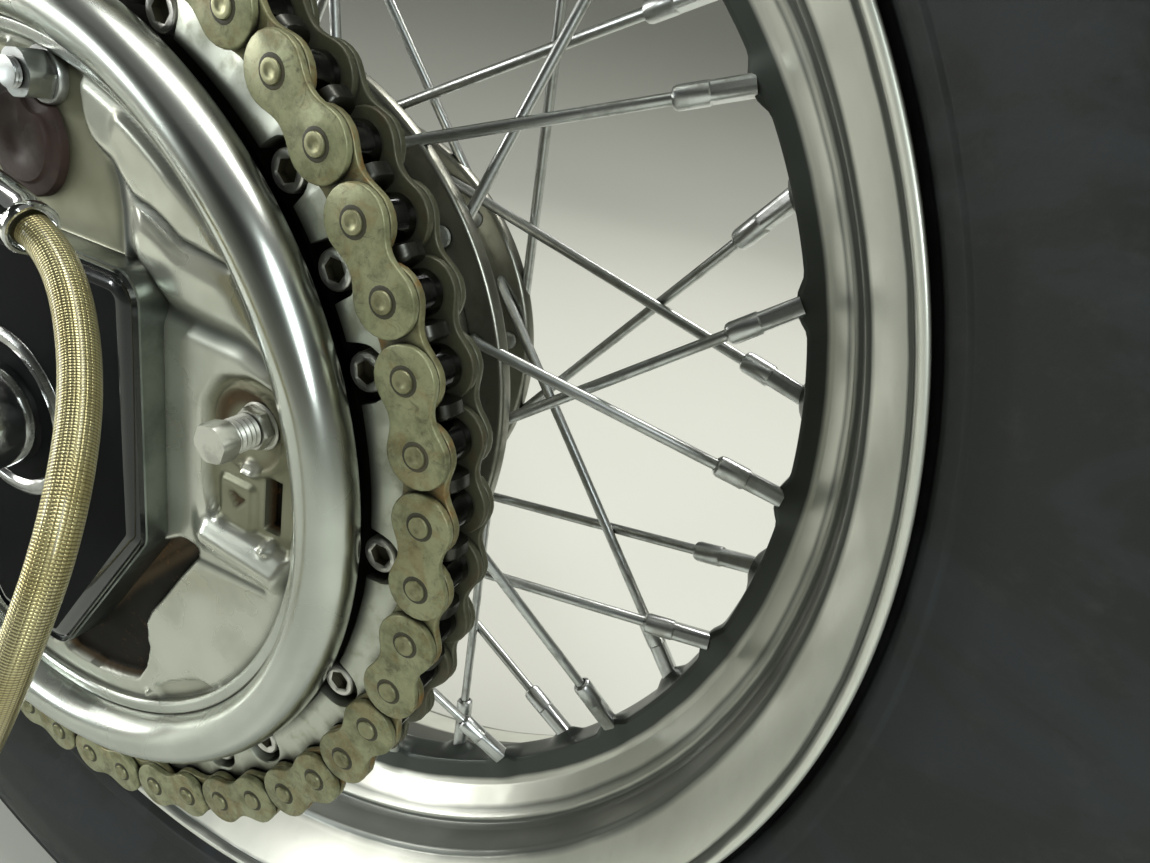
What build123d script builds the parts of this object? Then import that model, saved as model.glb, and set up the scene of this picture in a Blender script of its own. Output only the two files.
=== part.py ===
from build123d import *
import math
import os

os.makedirs("parts", exist_ok=True)

# Driven rear wheel of a sidecar motorcycle, millimetres.
# Origin: wheel centre on the axle. +X is the bike's rear, +Y its right side,
# +Z up. The wheel turns about Y. The sprocket and brake plate face -Y.

# Chain and sprocket
PITCH = 15.875
TEETH = 50
ROLLER_R = 5.08
PITCH_R = PITCH / (2 * math.sin(math.pi / TEETH))
FIRST_PIN = 58.13
CHAIN_Y = -94.55
CHAIN_INSIDE = 9.66
INNER_PLATE_T = 2.05
OUTER_PLATE_T = 1.92
LINK_PLAY = 0.15
PLATE_END_R = 7.6
PLATE_WAIST = 5.4
ROOT_R = 5.2
ROOT_SWEEP = 62.0
TOOTH_TIP_R = PITCH_R + 5.4
TOOTH_TIP_HALF = 0.75
TOOTH_T = 8.8
SPROCKET_BORE_R = 103.0
SPROCKET_STEP_R = 109.5
SPROCKET_LIP_T = 3.3

# Rim and tyre
RIM_LIP_R = 219.6
RIM_HALF = 58.0
FLANGE_HEIGHT = 15.4
WELL_DEPTH = 19.7
SEAT_R = RIM_LIP_R - FLANGE_HEIGHT
WELL_R = SEAT_R - WELL_DEPTH
SEAT_HALF = 52.0
WELL_HALF = 6.0
BEAD_FIT = 0.6
TYRE_R = 323.0
TYRE_HALF = 75.0
TREAD_HALF = 52.0
TYRE_WALL = 9.0
TYRE_SIDES = 54

# Hub and spokes
SPOKES_PER_SIDE = 20
SPOKE_R = 1.9
NIPPLE_R = 3.3
NIPPLE_LENGTH = 21.5
NIPPLE_END_R = WELL_R - NIPPLE_LENGTH
FIRST_LEFT_NIPPLE = 2.2
FIRST_RIGHT_NIPPLE = 11.2
LEFT_FLANGE_Y = -30.0
LEFT_HOLE_R = 95.0
LEFT_NIPPLE_Y = -4.0
LEFT_TURN = 18.0
RIGHT_FLANGE_Y = 27.0
RIGHT_HOLE_R = 72.0
RIGHT_NIPPLE_Y = 4.0
RIGHT_TURN = 54.0
FLANGE_T = 6.0
FLANGE_EDGE = 8.5
HUB_END_Y = 52.0

# Brake drum
DRUM_R = 89.0
DRUM_WALL = 7.0
DRUM_INNER_R = DRUM_R - DRUM_WALL
DRUM_FLANGE_R = 118.5
DRUM_FLANGE_T = 6.0

# Axle
AXLE_R = 10.0
AXLE_BORE_R = 5.0
AXLE_LEFT = -158.0
AXLE_RIGHT = 112.0
AXLE_END_R = 9.5
AXLE_END_LENGTH = 30.0
RUNNING_FIT = 0.05
END_PLAY = 0.4

# Brake plate
PLATE_R = 110.5
BEAD_INNER_R = 93.0
BEAD_EDGE_Y = -104.0
BEAD_RISE = 9.2
WEB_FRONT_Y = -100.5
WEB_BACK_Y = -96.0
RIB_RISE = 5.0
PLATEAU_FRONT_Y = -104.0
PLATEAU_MARGIN = 1.5
CARRIER_FRONT_Y = -112.0
CARRIER_BORE_R = 24.0
CARRIER_CHAMFER = 2.0
WINDOW_LEFT_X = 84.0
WINDOW_RIGHT_X = 88.0
WINDOW_LOW_Z = -3.0
WINDOW_HIGH_Z = 11.0
SPACER_END_Y = -136.0

# Brake hose and its fittings
HOSE_R = 3.7
FERRULE_R = 5.5
UPPER_FERRULE_LENGTH = 24.0
LOWER_FERRULE_LENGTH = 12.0
INLET_X = -20.0
INLET_Z = 78.0
INLET_R = 6.5
BANJO_Y = -128.0
BANJO_HALF = 6.0
BLOCK_LENGTH = 16.0
BLOCK_HALF = 8.0
LUG_HALF = 6.0

# Anchor bolt
ANCHOR_X = 79.0
ANCHOR_Z = 24.0
ANCHOR_NUT_T = 5.0
ANCHOR_SHANK = 7.5
ANCHOR_HEAD_T = 5.0

# Cap and stud nut on the plate
CAP_X = 4.0
CAP_Z = 70.0
CAP_R = 15.5
CAP_RISE = 5.5
STUD_X = 12.0
STUD_Z = 83.2
STUD_NUT_R = 7.6
WASHER_R = 8.6
WASHER_T = 2.0


def ring(points):
    """A closed (radius, y) outline turned about the wheel's axis."""
    outline = Polyline(*[(r, y) for r, y in points], close=True)
    return revolve(make_face(outline), Axis.Y)


def faceted_ring(points, sides):
    """The same outline carried round in flat facets, for what has many bands."""
    faces = []
    for k in range(sides):
        a, b = 360 * k / sides, 360 * (k + 1) / sides
        for (r0, y0), (r1, y1) in zip(points, points[1:] + points[:1]):
            corners = [polar(r0, a, y0), polar(r1, a, y1), polar(r1, b, y1), polar(r0, b, y0)]
            faces.append(Face(Wire.make_polygon(corners)))
    return Solid(Shell(faces))


def polar(radius, angle, y):
    """A point at a radius and an angle in degrees seen from -Y."""
    a = math.radians(angle)
    return Vector(radius * math.cos(a), y, radius * math.sin(a))


def rod(start, end, radius):
    """A round bar between two points."""
    start, end = Vector(*start), Vector(*end)
    plane = Plane(origin=start, z_dir=end - start)
    return extrude(plane * Circle(radius), (end - start).length)


def prism(points, y_low, y_high):
    """An (x, z) outline made solid between two y planes."""
    plane = Plane(origin=(0, y_low, 0), x_dir=(1, 0, 0), z_dir=(0, 1, 0))
    outline = Polyline(*[(x, -z) for x, z in points], close=True)
    return extrude(plane * make_face(outline), y_high - y_low)


def hexagon(x, z, radius, y_low, y_high, turn=0.0):
    """A hexagonal bar along Y."""
    corners = [math.radians(turn + 60 * k) for k in range(6)]
    points = [(x + radius * math.cos(a), z + radius * math.sin(a)) for a in corners]
    return prism(points, y_low, y_high)


def disc(x, z, radius, y_low, y_high):
    """A round bar along Y, from one y plane to another."""
    return rod((x, y_low, z), (x, y_high, z), radius)


def rounded_bar(x_low, x_high, z_low, z_high, corner, y_low, y_high):
    """A rectangle in x and z with round corners, made solid between two y planes."""
    plane = Plane(origin=(0, y_low, 0), x_dir=(1, 0, 0), z_dir=(0, 1, 0))
    middle = Location(((x_low + x_high) / 2, -(z_low + z_high) / 2))
    outline = RectangleRounded(x_high - x_low, z_high - z_low, corner)
    return extrude(plane * middle * outline, y_high - y_low)


def save(shape, node):
    export_step(shape, "parts/" + node + ".step")


# Tyre: outline of one side, then its mirror image.
tyre_side = [
    (SEAT_R + 10.0 + BEAD_FIT, SEAT_HALF - 5.0),
    (RIM_LIP_R - 1.7 + BEAD_FIT, SEAT_HALF - 0.4),
    (RIM_LIP_R + 6.0, SEAT_HALF + 9.0),
    (RIM_LIP_R + 40.0, TYRE_HALF),
    (TYRE_R - 30.0, TYRE_HALF - 5.0),
    (TYRE_R - 9.0, TREAD_HALF),
    (TYRE_R, TREAD_HALF * 0.4),
]
tyre_inside = [
    (SEAT_R + 5.2 + BEAD_FIT, SEAT_HALF - 16.5),
    (RIM_LIP_R + 40.0, TYRE_HALF - TYRE_WALL),
    (TYRE_R - 20.0, TREAD_HALF * 0.6),
]
tyre_outline = tyre_side + [(r, -y) for r, y in reversed(tyre_side)]
tyre_outline += [(r, -y) for r, y in tyre_inside]
tyre_outline += [(r, y) for r, y in reversed(tyre_inside)]
save(faceted_ring(tyre_outline, TYRE_SIDES), "tyre")

# Rim: the side that faces the axle, then the side that faces the tyre.
rim_face = [
    (RIM_LIP_R, RIM_HALF - 0.5),
    (RIM_LIP_R - 3.2, RIM_HALF),
    (RIM_LIP_R - 4.2, RIM_HALF - 3.6),
    (SEAT_R + 1.4, SEAT_HALF - 17.0),
    (SEAT_R - 1.4, SEAT_HALF - 30.0),
    (SEAT_R - 4.3, SEAT_HALF - 32.0),
    (WELL_R + 8.5, WELL_HALF + 4.0),
    (WELL_R, WELL_HALF),
]
rim_back = [
    (WELL_R + 3.9, WELL_HALF - 2.0),
    (SEAT_R - 1.0, SEAT_HALF - 35.4),
    (SEAT_R + 2.2, SEAT_HALF - 29.6),
    (SEAT_R + 5.4, SEAT_HALF - 15.4),
    (SEAT_R + 10.0, SEAT_HALF - 4.6),
    (RIM_LIP_R - 1.7, SEAT_HALF + 0.6),
]
rim_left = [(r, -y) for r, y in rim_face]
rim_right = [(r, y) for r, y in reversed(rim_face)]
back_right = [(r, y) for r, y in reversed(rim_back)]
back_left = [(r, -y) for r, y in rim_back]
save(ring(rim_left + rim_right + back_right + back_left), "rim")

# Spokes and nipples: each side has its own table row.
# side, flange y, hole radius, nipple y, first nipple, turn from nipple to hole
spoke_sides = [
    ("left", LEFT_FLANGE_Y, LEFT_HOLE_R, LEFT_NIPPLE_Y, FIRST_LEFT_NIPPLE, LEFT_TURN),
    ("right", RIGHT_FLANGE_Y, RIGHT_HOLE_R, RIGHT_NIPPLE_Y, FIRST_RIGHT_NIPPLE, RIGHT_TURN),
]
for side, flange_y, hole_r, nipple_y, first, turn in spoke_sides:
    spokes = []
    nipples = []
    for k in range(SPOKES_PER_SIDE):
        at_rim = first + k * 360 / SPOKES_PER_SIDE
        way = 1 if k % 2 == 0 else -1
        start = polar(hole_r, at_rim + way * turn, flange_y - way * FLANGE_T / 2)
        end = polar(WELL_R + 0.6, at_rim, nipple_y)
        share = (WELL_R - NIPPLE_END_R) / (end - start).length
        neck = end + (start - end) * share
        shaft = Plane(origin=start, z_dir=neck - start)
        spokes.append(extrude(shaft * RegularPolygon(SPOKE_R, 8), (neck - start).length))
        seat = Plane(origin=neck, z_dir=end - neck)
        nipple = extrude(seat * RegularPolygon(NIPPLE_R, 6), (end - neck).length)
        nipples.append(nipple)
    save(Compound(children=spokes), "spokes_" + side)
    save(Compound(children=nipples), "nipples_" + side)

# Hub shell: back wall of the drum, both spoke flanges and the barrel between.
near = LEFT_FLANGE_Y - FLANGE_T / 2
far = RIGHT_FLANGE_Y + FLANGE_T / 2
hub_outline = [
    (AXLE_R + RUNNING_FIT, near),
    (LEFT_HOLE_R + FLANGE_EDGE, near),
    (LEFT_HOLE_R + FLANGE_EDGE, near + FLANGE_T),
    (82.0, near + FLANGE_T + 2.0),
    (50.0, 0.0),
    (56.0, far - FLANGE_T - 4.0),
    (RIGHT_HOLE_R + FLANGE_EDGE - 1.0, far - FLANGE_T),
    (RIGHT_HOLE_R + FLANGE_EDGE - 1.0, far),
    (48.0, far + 2.0),
    (26.0, HUB_END_Y),
    (AXLE_R + RUNNING_FIT, HUB_END_Y),
]
save(ring(hub_outline), "hub_shell")

# Brake drum: sprocket flange and ribbed wall.
flange_y = CHAIN_Y + TOOTH_T / 2
drum_outline = [
    (DRUM_INNER_R, near),
    (DRUM_INNER_R, flange_y),
    (DRUM_FLANGE_R, flange_y),
    (DRUM_FLANGE_R, flange_y + DRUM_FLANGE_T),
    (DRUM_R + 4.0, flange_y + DRUM_FLANGE_T + 3.0),
    (DRUM_R, flange_y + 16.0),
    (DRUM_R, near - 8.0),
    (DRUM_R + 4.0, near - 6.0),
    (DRUM_R + 4.0, near),
]
save(ring(drum_outline), "brake_drum")

# Sprocket: one root arc, two flanks and a tip for each tooth.
teeth = []
gap_step = 360 / TEETH
flat = Plane(origin=(0, CHAIN_Y - TOOTH_T / 2, 0), x_dir=(1, 0, 0), z_dir=(0, 1, 0))


def flat_point(radius, angle):
    a = math.radians(angle)
    return (radius * math.cos(a), -radius * math.sin(a))


def root_point(angle, swing):
    a = math.radians(angle)
    b = math.radians(angle + 180 + swing)
    x = PITCH_R * math.cos(a) + ROOT_R * math.cos(b)
    z = PITCH_R * math.sin(a) + ROOT_R * math.sin(b)
    return (x, -z)


for k in range(TEETH):
    angle = FIRST_PIN + k * gap_step
    tip_in = flat_point(TOOTH_TIP_R, angle - gap_step / 2 + TOOTH_TIP_HALF)
    tip_out = flat_point(TOOTH_TIP_R, angle + gap_step / 2 - TOOTH_TIP_HALF)
    next_tip = flat_point(TOOTH_TIP_R, angle + gap_step / 2 + TOOTH_TIP_HALF)
    low = root_point(angle, ROOT_SWEEP)
    bottom = root_point(angle, 0)
    high = root_point(angle, -ROOT_SWEEP)
    teeth.append(Line(tip_in, low))
    teeth.append(ThreePointArc(low, bottom, high))
    teeth.append(Line(high, tip_out))
    teeth.append(Line(tip_out, next_tip))
blank = extrude(flat * make_face(Wire(teeth)), TOOTH_T)
bore = disc(0, 0, SPROCKET_BORE_R, CHAIN_Y - TOOTH_T, CHAIN_Y + TOOTH_T)
step = disc(0, 0, SPROCKET_STEP_R, CHAIN_Y - TOOTH_T, CHAIN_Y + TOOTH_T / 2 - SPROCKET_LIP_T)
save(blank - bore - step, "sprocket")

# Chain: a closed run of links round the sprocket. Every other link is wide. A
# narrow link's two plates and two rollers are one solid, and the wide link's
# plates lie outside it with the chain's own side play.
inner_low = CHAIN_INSIDE / 2
inner_high = inner_low + INNER_PLATE_T
outer_low = inner_high + LINK_PLAY
outer_high = outer_low + OUTER_PLATE_T


def plate_points(k, swings):
    """A link plate between pins k and k + 1, waisted, with its ends' corners at the swings."""
    a = math.radians(FIRST_PIN - k * gap_step)
    b = math.radians(FIRST_PIN - (k + 1) * gap_step)
    ax, az = PITCH_R * math.cos(a), PITCH_R * math.sin(a)
    bx, bz = PITCH_R * math.cos(b), PITCH_R * math.sin(b)
    along = math.atan2(bz - az, bx - ax)
    points = []
    for swing in swings:
        turn = along + math.radians(swing)
        points.append((bx + PLATE_END_R * math.cos(turn), bz + PLATE_END_R * math.sin(turn)))
    side = along + math.pi / 2
    mx, mz = (ax + bx) / 2, (az + bz) / 2
    points.append((mx + PLATE_WAIST * math.cos(side), mz + PLATE_WAIST * math.sin(side)))
    for swing in swings:
        turn = along + math.radians(swing + 180)
        points.append((ax + PLATE_END_R * math.cos(turn), az + PLATE_END_R * math.sin(turn)))
    points.append((mx - PLATE_WAIST * math.cos(side), mz - PLATE_WAIST * math.sin(side)))
    return points


links = []
for k in range(TEETH):
    near_outline = plate_points(k, (-54.0, 0.0, 54.0))
    far_outline = plate_points(k, (-42.0, 42.0))
    low, high = (inner_low, inner_high) if k % 2 == 0 else (outer_low, outer_high)
    near_plate = prism(near_outline, CHAIN_Y - high, CHAIN_Y - low)
    far_plate = prism(far_outline, CHAIN_Y + low, CHAIN_Y + high)
    if k % 2 == 1:
        links += [near_plate, far_plate]
        continue
    rollers = []
    for n in (k, k + 1):
        turn = FIRST_PIN - n * gap_step
        pin = polar(PITCH_R, turn, CHAIN_Y)
        rollers.append(hexagon(pin.X, pin.Z, ROLLER_R, CHAIN_Y - low, CHAIN_Y + low, turn))
    links.append(near_plate.fuse(far_plate, *rollers))
save(Compound(children=links), "drive_chain")

# Axle, hollow from end to end.
axle = disc(0, 0, AXLE_END_R, AXLE_LEFT, AXLE_RIGHT)
axle += disc(0, 0, AXLE_R, SPACER_END_Y, AXLE_RIGHT - AXLE_END_LENGTH)
axle -= disc(0, 0, AXLE_BORE_R, AXLE_LEFT - 1, AXLE_RIGHT + 1)
save(axle, "axle")


def collar(outer_r, y_low, y_high):
    """A round spacer on the axle."""
    return ring([
        (AXLE_R, y_low),
        (outer_r, y_low),
        (outer_r, y_high),
        (AXLE_R, y_high),
    ])


save(collar(16.0, HUB_END_Y + END_PLAY, AXLE_RIGHT - AXLE_END_LENGTH), "right_spacer")
spacer = ring([
    (AXLE_R, SPACER_END_Y),
    (14.0, SPACER_END_Y),
    (14.0, PLATEAU_FRONT_Y - 4.0),
    (19.0, PLATEAU_FRONT_Y - 4.0),
    (19.0, PLATEAU_FRONT_Y),
    (AXLE_R, PLATEAU_FRONT_Y),
])
save(spacer, "left_spacer")
nut = hexagon(0, 0, 17.5, SPACER_END_Y - 15.0, SPACER_END_Y)
save(nut - disc(0, 0, AXLE_END_R, SPACER_END_Y - 20, SPACER_END_Y + 5), "axle_nut")

# Brake plate: beaded rim round a flat web, then plateau, ribs and window.
tube_r = (PLATE_R - BEAD_INNER_R) / 2
tube_at = BEAD_INNER_R + tube_r
bead = [(BEAD_INNER_R, WEB_FRONT_Y)]
for swing in (0, 30, 60, 90, 120, 150, 180):
    a = math.radians(180 - swing)
    bead.append((tube_at + tube_r * math.cos(a), BEAD_EDGE_Y - BEAD_RISE * math.sin(a)))
bead += [(PLATE_R - 1.5, BEAD_EDGE_Y + 1.0), (97.0, BEAD_EDGE_Y + 1.0), (97.0, WEB_BACK_Y)]
plate = ring([(AXLE_R, WEB_BACK_Y), (AXLE_R, WEB_FRONT_Y)] + bead)

# Right half of the axle carrier's outline from the top down: x, z.
carrier_half = [(49.5, 50.5), (49.5, -20.0), (14.0, -72.0)]


def shield(margin, corner, y_low, y_high):
    """The carrier's outline, moved out by a margin, made solid between two y planes."""
    half = [(x, -z) for x, z in carrier_half]
    outline = Polyline(*half, *[(-x, z) for x, z in reversed(half)], close=True)
    face = offset(make_face(outline), margin, kind=Kind.INTERSECTION)
    face = fillet(face.vertices(), corner)
    plane = Plane(origin=(0, y_low, 0), x_dir=(1, 0, 0), z_dir=(0, 1, 0))
    return extrude(plane * face, y_high - y_low)


plate += shield(PLATEAU_MARGIN, 8.0, PLATEAU_FRONT_Y, WEB_FRONT_Y)
# Ribs: x and z of the start, x and z of the end, width.
ribs = [
    (58, 44, 58, -16, 12),
    (56, -14, 94, -18, 9),
    (64, -16, 22, -72, 9),
    (24, -70, 10, -92, 9),
    (50, 54, 36, 88, 8),
    (60, 42, 93, 39, 7),
    (-58, 44, -58, -16, 12),
    (-56, -14, -94, -18, 9),
    (-68, -16, -34, -56, 9),
    (-50, 54, -36, 88, 8),
]
for x0, z0, x1, z1, width in ribs:
    span = math.hypot(x1 - x0, z1 - z0)
    nx, nz = -(z1 - z0) / span * width / 2, (x1 - x0) / span * width / 2
    corners = [(x0 + nx, z0 + nz), (x1 + nx, z1 + nz), (x1 - nx, z1 - nz), (x0 - nx, z0 - nz)]
    plate += prism(corners, WEB_FRONT_Y - RIB_RISE, WEB_FRONT_Y)
plate += disc(ANCHOR_X, ANCHOR_Z, 11.5, WEB_FRONT_Y - 1.5, WEB_FRONT_Y)
window = [
    (WINDOW_LEFT_X, WINDOW_LOW_Z),
    (WINDOW_RIGHT_X, WINDOW_LOW_Z),
    (WINDOW_RIGHT_X, WINDOW_HIGH_Z),
    (WINDOW_LEFT_X, WINDOW_HIGH_Z),
]
plate -= prism(window, WEB_FRONT_Y - 1, WEB_BACK_Y + 1)

# Hose route: the corners of its path from the upper ferrule to the lower one.
hose_corners = [
    (43.5, BANJO_Y, 60.5),
    (53.0, -128.2, 57.8),
    (71.5, -138.0, 40.5),
    (87.0, -154.0, 22.5),
    (85.5, -163.0, -1.0),
    (74.5, -165.0, -27.0),
    (58.0, -162.0, -51.5),
    (36.0, -156.0, -70.0),
    (11.0, -146.5, -78.5),
    (-14.0, -136.0, -76.5),
    (-36.0, -136.0, -70.0),
]
corners = [Vector(*point) for point in hose_corners]
radii = []
for before, here, after in zip(corners, corners[1:], corners[2:]):
    turn = math.radians((here - before).get_angle(after - here))
    reach = 0.45 * min((here - before).length, (after - here).length)
    radii.append(reach / math.tan(turn / 2))
print("hose radii", [round(r, 1) for r in radii])
upper_way = (corners[1] - corners[0]).normalized()
lower_way = (corners[-1] - corners[-2]).normalized()
block_at = corners[-1] + lower_way * (LOWER_FERRULE_LENGTH + BLOCK_LENGTH / 2)

lug_front = block_at.Y + BLOCK_HALF
lug = Box(2 * LUG_HALF, WEB_FRONT_Y - lug_front, 2 * LUG_HALF)
plate += lug.moved(Location((block_at.X, (lug_front + WEB_FRONT_Y) / 2, block_at.Z)))
plate -= disc(0, 0, AXLE_R, CARRIER_FRONT_Y, WEB_BACK_Y + 1)
save(plate, "brake_plate")

# Axle carrier: the dark block on the plateau, open round the spacer.
carrier = shield(0.0, 7.0, CARRIER_FRONT_Y, PLATEAU_FRONT_Y)
carrier = chamfer(carrier.faces().sort_by(Axis.Y)[0].edges(), CARRIER_CHAMFER)
carrier -= disc(0, 0, CARRIER_BORE_R, CARRIER_FRONT_Y - 1, PLATEAU_FRONT_Y + 1)
save(carrier, "axle_carrier")

# Anchor bolt with its nut on the plate.
nut_y = WEB_FRONT_Y - 1.5
shank_y = nut_y - ANCHOR_NUT_T
head_y = shank_y - ANCHOR_SHANK
save(hexagon(ANCHOR_X, ANCHOR_Z, 6.5, shank_y, nut_y), "anchor_nut")
anchor = disc(ANCHOR_X, ANCHOR_Z, 3.1, head_y, shank_y)
anchor += hexagon(ANCHOR_X, ANCHOR_Z, 5.8, head_y - ANCHOR_HEAD_T, head_y, 12)
save(anchor, "anchor_bolt")

# Stud nut on its washer, and the round cap that is cut away beside it.
washer_y = WEB_FRONT_Y - WASHER_T
stud = disc(STUD_X, STUD_Z, WASHER_R, washer_y, WEB_FRONT_Y)
stud += hexagon(STUD_X, STUD_Z, STUD_NUT_R, washer_y - 7.0, washer_y)
stud += disc(STUD_X, STUD_Z, 4.0, washer_y - 10.0, washer_y - 7.0)
save(stud, "stud_nut")
cap = disc(CAP_X, CAP_Z, CAP_R, WEB_FRONT_Y - CAP_RISE, WEB_FRONT_Y)
cap -= disc(STUD_X, STUD_Z, WASHER_R + 0.3, WEB_FRONT_Y - CAP_RISE - 1, WEB_FRONT_Y + 1)
save(cap, "inspection_cap")

# Wheel cylinder inlet with the banjo on it.
union_y = BANJO_Y + BANJO_HALF
inlet = disc(INLET_X, INLET_Z, INLET_R, union_y + 10.0, WEB_FRONT_Y)
inlet += hexagon(INLET_X, INLET_Z, 8.5, union_y, union_y + 10.0)
save(inlet, "inlet_union")
inlet_at = Vector(INLET_X, BANJO_Y, INLET_Z)
neck_end = corners[0] - upper_way * UPPER_FERRULE_LENGTH
neck_way = (neck_end - inlet_at).normalized()
banjo = disc(INLET_X, INLET_Z, 8.5, BANJO_Y - BANJO_HALF, union_y)
banjo += rod(inlet_at + neck_way * 4.0, neck_end, 4.2)
save(banjo, "banjo")
save(hexagon(INLET_X, INLET_Z, 8.0, BANJO_Y - 12.0, BANJO_Y - BANJO_HALF), "banjo_bolt")
save(rod(neck_end, corners[0], FERRULE_R), "upper_ferrule")

route = FilletPolyline(*corners, radius=radii)
hose_face = Plane(origin=corners[0], z_dir=upper_way)
hose = sweep(hose_face * RegularPolygon(HOSE_R, 12), path=route)
print("hose length", round(route.length, 1), "volume per section", hose.volume / (3 * HOSE_R ** 2))
save(hose, "brake_hose")
block_face = corners[-1] + lower_way * LOWER_FERRULE_LENGTH
save(rod(corners[-1], block_face, FERRULE_R), "lower_ferrule")
block_plane = Plane(origin=block_face, x_dir=(0, 1, 0), z_dir=lower_way)
save(extrude(block_plane * Rectangle(2 * BLOCK_HALF, 2 * BLOCK_HALF), BLOCK_LENGTH), "hose_block")

# Valve stem through the rim's well.
VALVE_ANGLE = 150.7
foot = polar(WELL_R - 0.05, VALVE_ANGLE, 0)
tip = polar(WELL_R - 34.0, VALVE_ANGLE, 0)
save(rod(foot, tip, 4.0), "valve_stem")
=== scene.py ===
"""A motorcycle's driven rear wheel, seen from its left.

Sizes are millimetres here and become metres in Piece.make. The origin is the wheel's centre,
+Y runs along the axle to the bike's right, and +Z is up. Angles are degrees in the x, z plane.
"""
import math

import bmesh
import bpy
import numpy as np
from mathutils import Matrix, Vector


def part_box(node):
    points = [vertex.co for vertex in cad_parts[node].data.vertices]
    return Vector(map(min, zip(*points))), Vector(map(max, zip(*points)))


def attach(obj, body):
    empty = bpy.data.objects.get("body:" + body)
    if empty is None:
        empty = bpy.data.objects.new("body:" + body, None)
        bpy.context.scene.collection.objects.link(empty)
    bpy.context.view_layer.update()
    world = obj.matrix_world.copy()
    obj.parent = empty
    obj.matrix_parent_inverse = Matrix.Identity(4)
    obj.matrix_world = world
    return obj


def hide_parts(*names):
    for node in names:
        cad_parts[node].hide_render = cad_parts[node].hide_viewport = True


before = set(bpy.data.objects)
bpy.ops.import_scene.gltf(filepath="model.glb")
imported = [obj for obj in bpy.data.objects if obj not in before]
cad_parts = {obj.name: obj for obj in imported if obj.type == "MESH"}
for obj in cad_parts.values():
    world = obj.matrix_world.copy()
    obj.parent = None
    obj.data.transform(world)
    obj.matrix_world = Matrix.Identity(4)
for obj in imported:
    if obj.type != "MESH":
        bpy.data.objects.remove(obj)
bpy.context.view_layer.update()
scene = bpy.context.scene
link = scene.collection.objects.link

MM = 0.001
WHEEL_SLOTS = {"tyre", "rim", "spoke", "nipple", "hub", "drum", "sprocket", "chain"}
LEFT = Vector((0, -1, 0))
RIGHT = Vector((0, 1, 0))

AXLE_ENDS = (-158, 112)
BORE_R = 10.1
SPACER_END_Y = -136
SPACER_FOOT_Y = -104.1
NUT_LENGTH = 15

PITCH = 15.875
TEETH = 50
PITCH_R = PITCH / (2 * math.sin(math.pi / TEETH))
GAP_STEP = 360 / TEETH
FIRST_PIN = 58.13
CHAIN_Y = -94.55
INNER_LOW = 4.83
INNER_HIGH = INNER_LOW + 2.05
OUTER_LOW = INNER_HIGH + 0.15
OUTER_HIGH = OUTER_LOW + 1.92
PLATE_END_R = 7.6
PLATE_WAIST = 5.4
PLATE_BEVEL = 0.45
ROLLER_R = 5.08
TOOTH_T = 8.8
TOOTH_TIP_R = PITCH_R + 5.4
TOOTH_TIP_HALF = 0.75
TOOTH_STEPS = 24
ROOT_R = 5.2
ROOT_SWEEP = 62
SPROCKET_BORE_R = 103
SPROCKET_STEP_R = 109.5
SPROCKET_LIP_T = 3.3
OILY_R = 121
BOLT_CIRCLE_R = 112
BOLT_SEAT_R = 6.6
BOLT_ANGLES = [0.25 + 22.5 * n for n in range(16)] + [34 + 90 * n for n in range(4)]

TREAD_R = 308
TREAD_DEPTH = 6.5
CROWN_HALF = 57
WELL_R = 184.5
SPOKES_PER_SIDE = 20
SPOKE_R = 1.75
SPOKE_BEND = 3.4
DIMPLE = 2.4
VALVE_ANGLE = 150.7
# Each side's sign, hole radius, flange y, nipple y, first nipple's angle and turn to its hole.
SPOKE_SIDES = [(-1, 95, -30, -4, 2.2, 18), (1, 72, 27, 4, 11.2, 54)]

FACE_Y = -104.0
BEAD_RISE = 9.2
BEAD_IN_R = 95.6
BEAD_OUT_R = 110.5
CARRIER_FRONT_Y = -112
ANCHOR = (79, 22.8)
CAP = Vector((4, 70))
CAP_R = 13.4
CAP_NOTCH_R = 6.6
STUD = Vector((12.8, 85.4))
INLET = (-20, 78)
BANJO_Y = -128
HOSE_R = 3.7
HOSE_SIDES = 24
BRAID_ROW = 0.62
BRAID_STRANDS = 26
FERRULE_LENGTH = 24
HOSE_POINTS = [Vector(p) for p in (
    (43.5, -128, 60.5), (53, -128.2, 57.8), (71.5, -138, 40.5), (87, -154, 22.5),
    (85.5, -163, -1), (74.5, -165, -27), (58, -162, -51.5), (36, -156, -70),
    (11, -146.5, -78.5), (-14, -136, -76.5), (-36, -136, -70),
)]


def polar(radius, angle, y=0):
    a = math.radians(angle)
    return Vector((radius * math.cos(a), y, radius * math.sin(a)))


def rounded(points, steps=4, closed=True):
    """Corners given as (u, v, radius) become arcs of that radius."""
    out = []
    count = len(points)
    for i, point in enumerate(points):
        corner = Vector(point[:2])
        radius = point[2] if len(point) > 2 else 0
        if radius <= 0 or (not closed and i in (0, count - 1)):
            out.append(tuple(corner))
            continue
        before = Vector(points[i - 1][:2]) - corner
        after = Vector(points[(i + 1) % count][:2]) - corner
        half = before.angle(after) / 2
        reach = min(radius / math.tan(half), before.length * 0.49, after.length * 0.49)
        bisector = (before.normalized() + after.normalized()).normalized()
        centre = corner + bisector * (reach * math.tan(half) / math.sin(half))
        start = corner + before.normalized() * reach - centre
        end = corner + after.normalized() * reach - centre
        sweep = start.angle_signed(end)
        for k in range(steps + 1):
            a = -sweep * k / steps
            c, s = math.cos(a), math.sin(a)
            out.append((centre.x + start.x * c - start.y * s, centre.y + start.x * s + start.y * c))
    return out


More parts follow.
